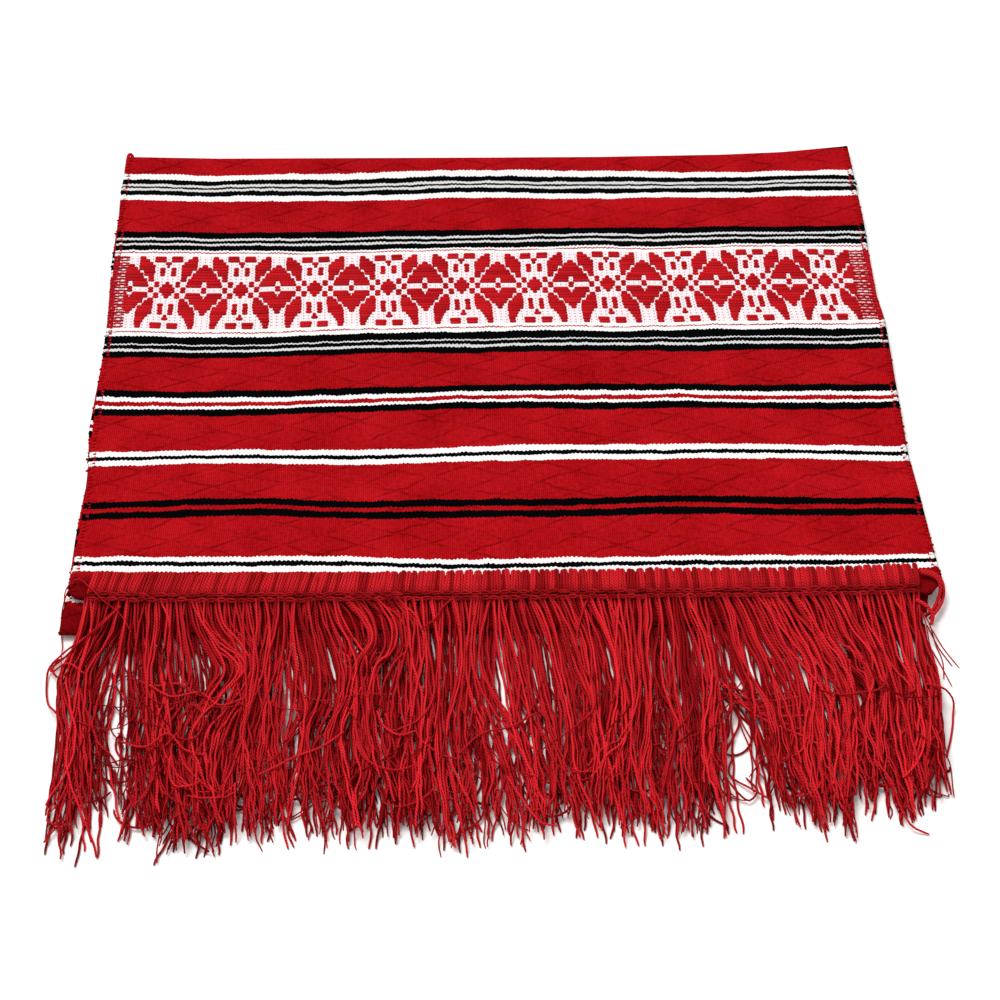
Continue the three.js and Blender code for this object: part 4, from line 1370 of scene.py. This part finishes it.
def layFringe(pile, which, rng):
    upper = which == "upper"
    count = fringe["perBundle"][which]
    offsets = [i - (count - 1) / 2 for i in range(count)]
    places = [(centre, bundle, offset) for bundle, centre in enumerate(bundleCentres()) for offset in offsets]
    roots = [centre + offset * heading["bundle"] / count for centre, _, offset in places]
    tips = [rng.gauss(0, 4) for _ in range(len(roots) // fringe["wisps"][0][0] + 1)]
    leans = [rng.gauss(0, 1.8) for _ in bundleCentres()]
    order = list(range(len(roots)))
    rng.shuffle(order)
    yarns, plies = [], []
    radius, plyRadius = fringe["radius"], fringe["plyRadius"]
    darkest, brightest = fringe["shade"][which]
    for rank, number in enumerate(order):
        root = roots[number]
        if any(low < root < high and rng.random() > share for low, high, share in fringe["thinned"][which]):
            continue
        middles = []
        for size, _, _ in fringe["wisps"]:
            start = number // size * size
            middles.append(sum(roots[start:start + size]) / len(roots[start:start + size]))
        _, bundle, offset = places[number]
        habit = {
            "lean": leans[bundle], "tip": tips[number // fringe["wisps"][0][0]], "middles": middles,
            "pinched": offset * (fringe["pinch"][which] - heading["bundle"] / count),
        }
        path = yarnPath(which, root, habit, rng)
        down = path[0, 1] - path[:, 1]
        if upper:
            rootHeight = float(trimHeight(np.array([root]), path[:1, 1], "upper")[0]) - fringe["rootSunk"]
        else:
            rootHeight = fringe["lowerRootHeight"]
        falling = 1 - smoothstep(down, 0, fringe["fall"][which])
        free = np.maximum(rootHeight * falling, radius)
        # Painted shade: yarns laid earlier lie lower in the pile and get a darker shade, with some tone of
        # their own at random; near the root, under the trim, they get painted shade too
        shade = darkest + (brightest - darkest) * rank / len(order) + rng.uniform(-0.4, 0.35)
        shades = shade - 0.8 * (1 - smoothstep(down, 1, 6))
        whole = np.column_stack([path, pile.lay(path, radius, free)])
        if rng.random() > fringe["split"][which] or len(whole) < 30:
            yarns.append((whole, taper(len(whole), radius), shades))
            continue
        cut = rng.randint(int(len(whole) * (0.4 if upper else 0.1)), int(len(whole) * 0.8))
        yarns.append((whole[:cut + 1], np.full(cut + 1, radius), shades[:cut + 1]))
        tail = whole[cut:]
        run = np.linspace(0, 1, len(tail))
        for side in (-1, 1):
            ply = tail.copy()
            apart = side * 0.3 + rng.gauss(side * 0.6, 1.4) * run ** 1.3
            curl = rng.uniform(0.3, 0.9) * run
            turned = run * len(tail) * fringe["step"] / rng.uniform(2.2, 4) + rng.uniform(0, 6)
            ply[:, 0] += apart + curl * np.sin(turned)
            ply[:, 2] = pile.lay(ply[:, :2], plyRadius, plyRadius)
            ply[:2, 2] = tail[:2, 2]
            ply = ply[:len(ply) - rng.randint(0, 4)]
            keepInside(ply)
            plies.append((ply, taper(len(ply), plyRadius), max(shade, -0.3) + 0.1))
    return yarns, plies


# A strand that lies crosswise spans the hollows between the yarns under it
def spanHollows(heights):
    padded = np.pad(heights, 3, mode="edge")
    highest = np.max([padded[i:i + len(heights)] for i in range(7)], axis=0)
    return np.convolve(np.pad(highest, 2, mode="edge"), np.full(5, 0.2), mode="valid")


# Thin loose strands that lie crosswise between the yarns
def layTangles(pile, rng):
    strands = []
    radius = fringe["plyRadius"] * 0.9
    for fromX, toX, fromY, toY, count in fringe["tangles"]:
        for _ in range(count // 2):
            x, y = rng.uniform(fromX, toX), rng.uniform(toY, fromY)
            course, bend = -math.pi / 2 + rng.gauss(0, 0.38), rng.gauss(0, 0.03)
            points = []
            for _ in range(rng.randint(12, 24)):
                points.append((x, y))
                bend = bend * 0.85 + rng.gauss(0, 0.05)
                course += bend
                x += math.cos(course) * fringe["step"]
                y = max(y + math.sin(course) * fringe["step"], fringe["lowest"])
            path = np.array(points)
            keepInside(path)
            whole = np.column_stack([path, spanHollows(pile.lay(path, radius, radius))])
            strands.append((whole, taper(len(whole), radius), rng.uniform(-0.4, 0.5)))
    return strands


# Strands drawn one by one. On the upper layer of the cloth they lie on it, elsewhere on the pile.
def layStrays(pile, kind, rng):
    strands = []
    radius = fringe[kind + "Radius"]
    for places in fringe[kind + "s"]:
        path, _ = evenPath(places, fringe["step"] * 0.8)
        x, y = path[:, 0], path[:, 1]
        onTrim = (x > heading["from"]) & (x < heading["to"]) & (y > heading["upperTop"] - heading["depth"])
        top = upperHeight(x, y) + np.where(onTrim, heading["aboveCloth"] + 1.6, cloth["thickness"] / 2 + 0.2)
        onCloth = (y > readTable(cloth["upperEnd"], x)) & (np.abs(x) < cloth["width"] / 2)
        free = radius + np.where(onTrim | onCloth, top, 0)
        free = np.convolve(np.pad(free, 2, mode="edge"), np.full(5, 0.2), mode="valid")
        stray = np.column_stack([path, spanHollows(pile.lay(path, radius, free))])
        strands.append((stray, taper(len(stray), radius), rng.uniform(0.1, 0.9)))
    return strands


def makeFringes(tree, material):
    rng = random.Random(fringe["seed"])
    pile = Pile()
    lower = layFringe(pile, "lower", rng)
    lower[1].extend(layTangles(pile, rng))
    pile.height = np.maximum(pile.height, pile.cloth)
    crossing = layStrays(pile, "under", rng)
    upper = layFringe(pile, "upper", rng)
    upper[1].extend(layTangles(pile, rng))
    for strays in (crossing, *(layStrays(pile, kind, rng) for kind in ("stray", "ring", "hair"))):
        upper[0].extend(strays)
    print(f"fringe pile up to {pile.height.max():.1f} mm")
    upper[0].sort(key=lambda yarn: yarn[0][0][0])
    middle = len(upper[0]) // 2
    groups = [
        ("fringe_lower_yarns", "fringe_lower", lower[0], 5),
        ("fringe_lower_plies", "fringe_lower", lower[1], 4),
        ("fringe_upper_left", "fringe_upper", upper[0][:middle], 5),
        ("fringe_upper_right", "fringe_upper", upper[0][middle:], 5),
        ("fringe_upper_plies", "fringe_upper", upper[1], 4),
    ]
    pieces = {"fringe_lower": [], "fringe_upper": []}
    for name, node, paths, sides in groups:
        pieces[node].append(
            runTree(name, pathObject(paths), tree, Sides=sides, Flatness=1.0, Material=material)
        )
    return pieces


# Studio: a plain white table under soft light from the upper left, and the camera at the photo's angle
studio = {
    "camera": (-38.8, -561.2, 741.5),
    "down": 50.7,
    "yaw": 3.46,
    "roll": 2.15,
    "lens": 72,
    "world": 0.63,
    "tableHalf": 6.0,
    "key": {"from": (-560, 750, 1300), "strength": 2.85, "softness": 36},
}


def makeStudio():
    size = studio["tableHalf"]
    points = [(-size, -size, 0), (size, -size, 0), (size, size, 0), (-size, size, 0)]
    table = makeMesh("table", points, [(0, 1, 2, 3)])
    material = bpy.data.materials.new("white paper table")
    material.use_nodes = True
    surface = material.node_tree.nodes["Principled BSDF"]
    for socket, value in (("Base Color", linear("#f8f7f6")), ("Roughness", 0.9), ("Specular IOR Level", 0.1)):
        surface.inputs[socket].default_value = value
    table.data.materials.append(material)

    world = bpy.data.worlds.new("soft white room")
    bpy.context.scene.world = world
    world.use_nodes = True
    background = world.node_tree.nodes["Background"]
    background.inputs[0].default_value = linear("#fffdfb")
    background.inputs[1].default_value = studio["world"]

    lamp = bpy.data.lights.new("key", "SUN")
    lamp.energy = studio["key"]["strength"]
    lamp.angle = math.radians(studio["key"]["softness"])
    key = addObject("key", lamp)
    key.location = toWorld(studio["key"]["from"])
    key.rotation_euler = (-Vector(studio["key"]["from"])).to_track_quat("-Z", "Y").to_euler()

    yaw, down, roll = (math.radians(studio[name]) for name in ("yaw", "down", "roll"))
    camera = addObject("camera", bpy.data.cameras.new("camera"))
    camera.data.lens = studio["lens"]
    camera.data.clip_end = 50
    turned = Matrix.Rotation(-yaw, 4, "Z") @ Matrix.Rotation(math.pi / 2 - down, 4, "X")
    turned = turned @ Matrix.Rotation(roll, 4, "Z")
    camera.matrix_world = Matrix.Translation(toWorld(studio["camera"])) @ turned
    bpy.context.scene.camera = camera
    bpy.context.scene.view_settings.view_transform = "Standard"


makeStudio()
clothMaterial = makeClothMaterial()
floatMaterial = makeYarnMaterial(*yarnLooks["floats"])
trimMaterial = makeYarnMaterial(*yarnLooks["trim"])
fringeMaterial = makeYarnMaterial(*yarnLooks["fringe"])
pathTree = makePathTree()
rowTree = makeRowTree()

wovenCloth = makeCloth(clothMaterial)
clothPieces = [
    makeMotifs("motifs_upper", "upper", pathTree, floatMaterial),
    makeMotifs("motifs_lower", "lower", pathTree, floatMaterial),
    makeBandEnds(pathTree, floatMaterial),
    *makeSelvedges(rowTree, clothMaterial),
]
print("cloth and motifs made")
headings = {place: makeHeading(place, rowTree, trimMaterial) for place in ("upper", "lower")}
print("headings made")
fringes = makeFringes(pathTree, fringeMaterial)
print("fringes made")

for piece in [wovenCloth, *clothPieces]:
    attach(piece, "root")
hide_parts("cloth")
for place, pieces in headings.items():
    for piece in pieces:
        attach(piece, "root")
    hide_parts(f"heading_{place}")
for node, pieces in fringes.items():
    for piece in pieces:
        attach(piece, "root")
        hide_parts(node)
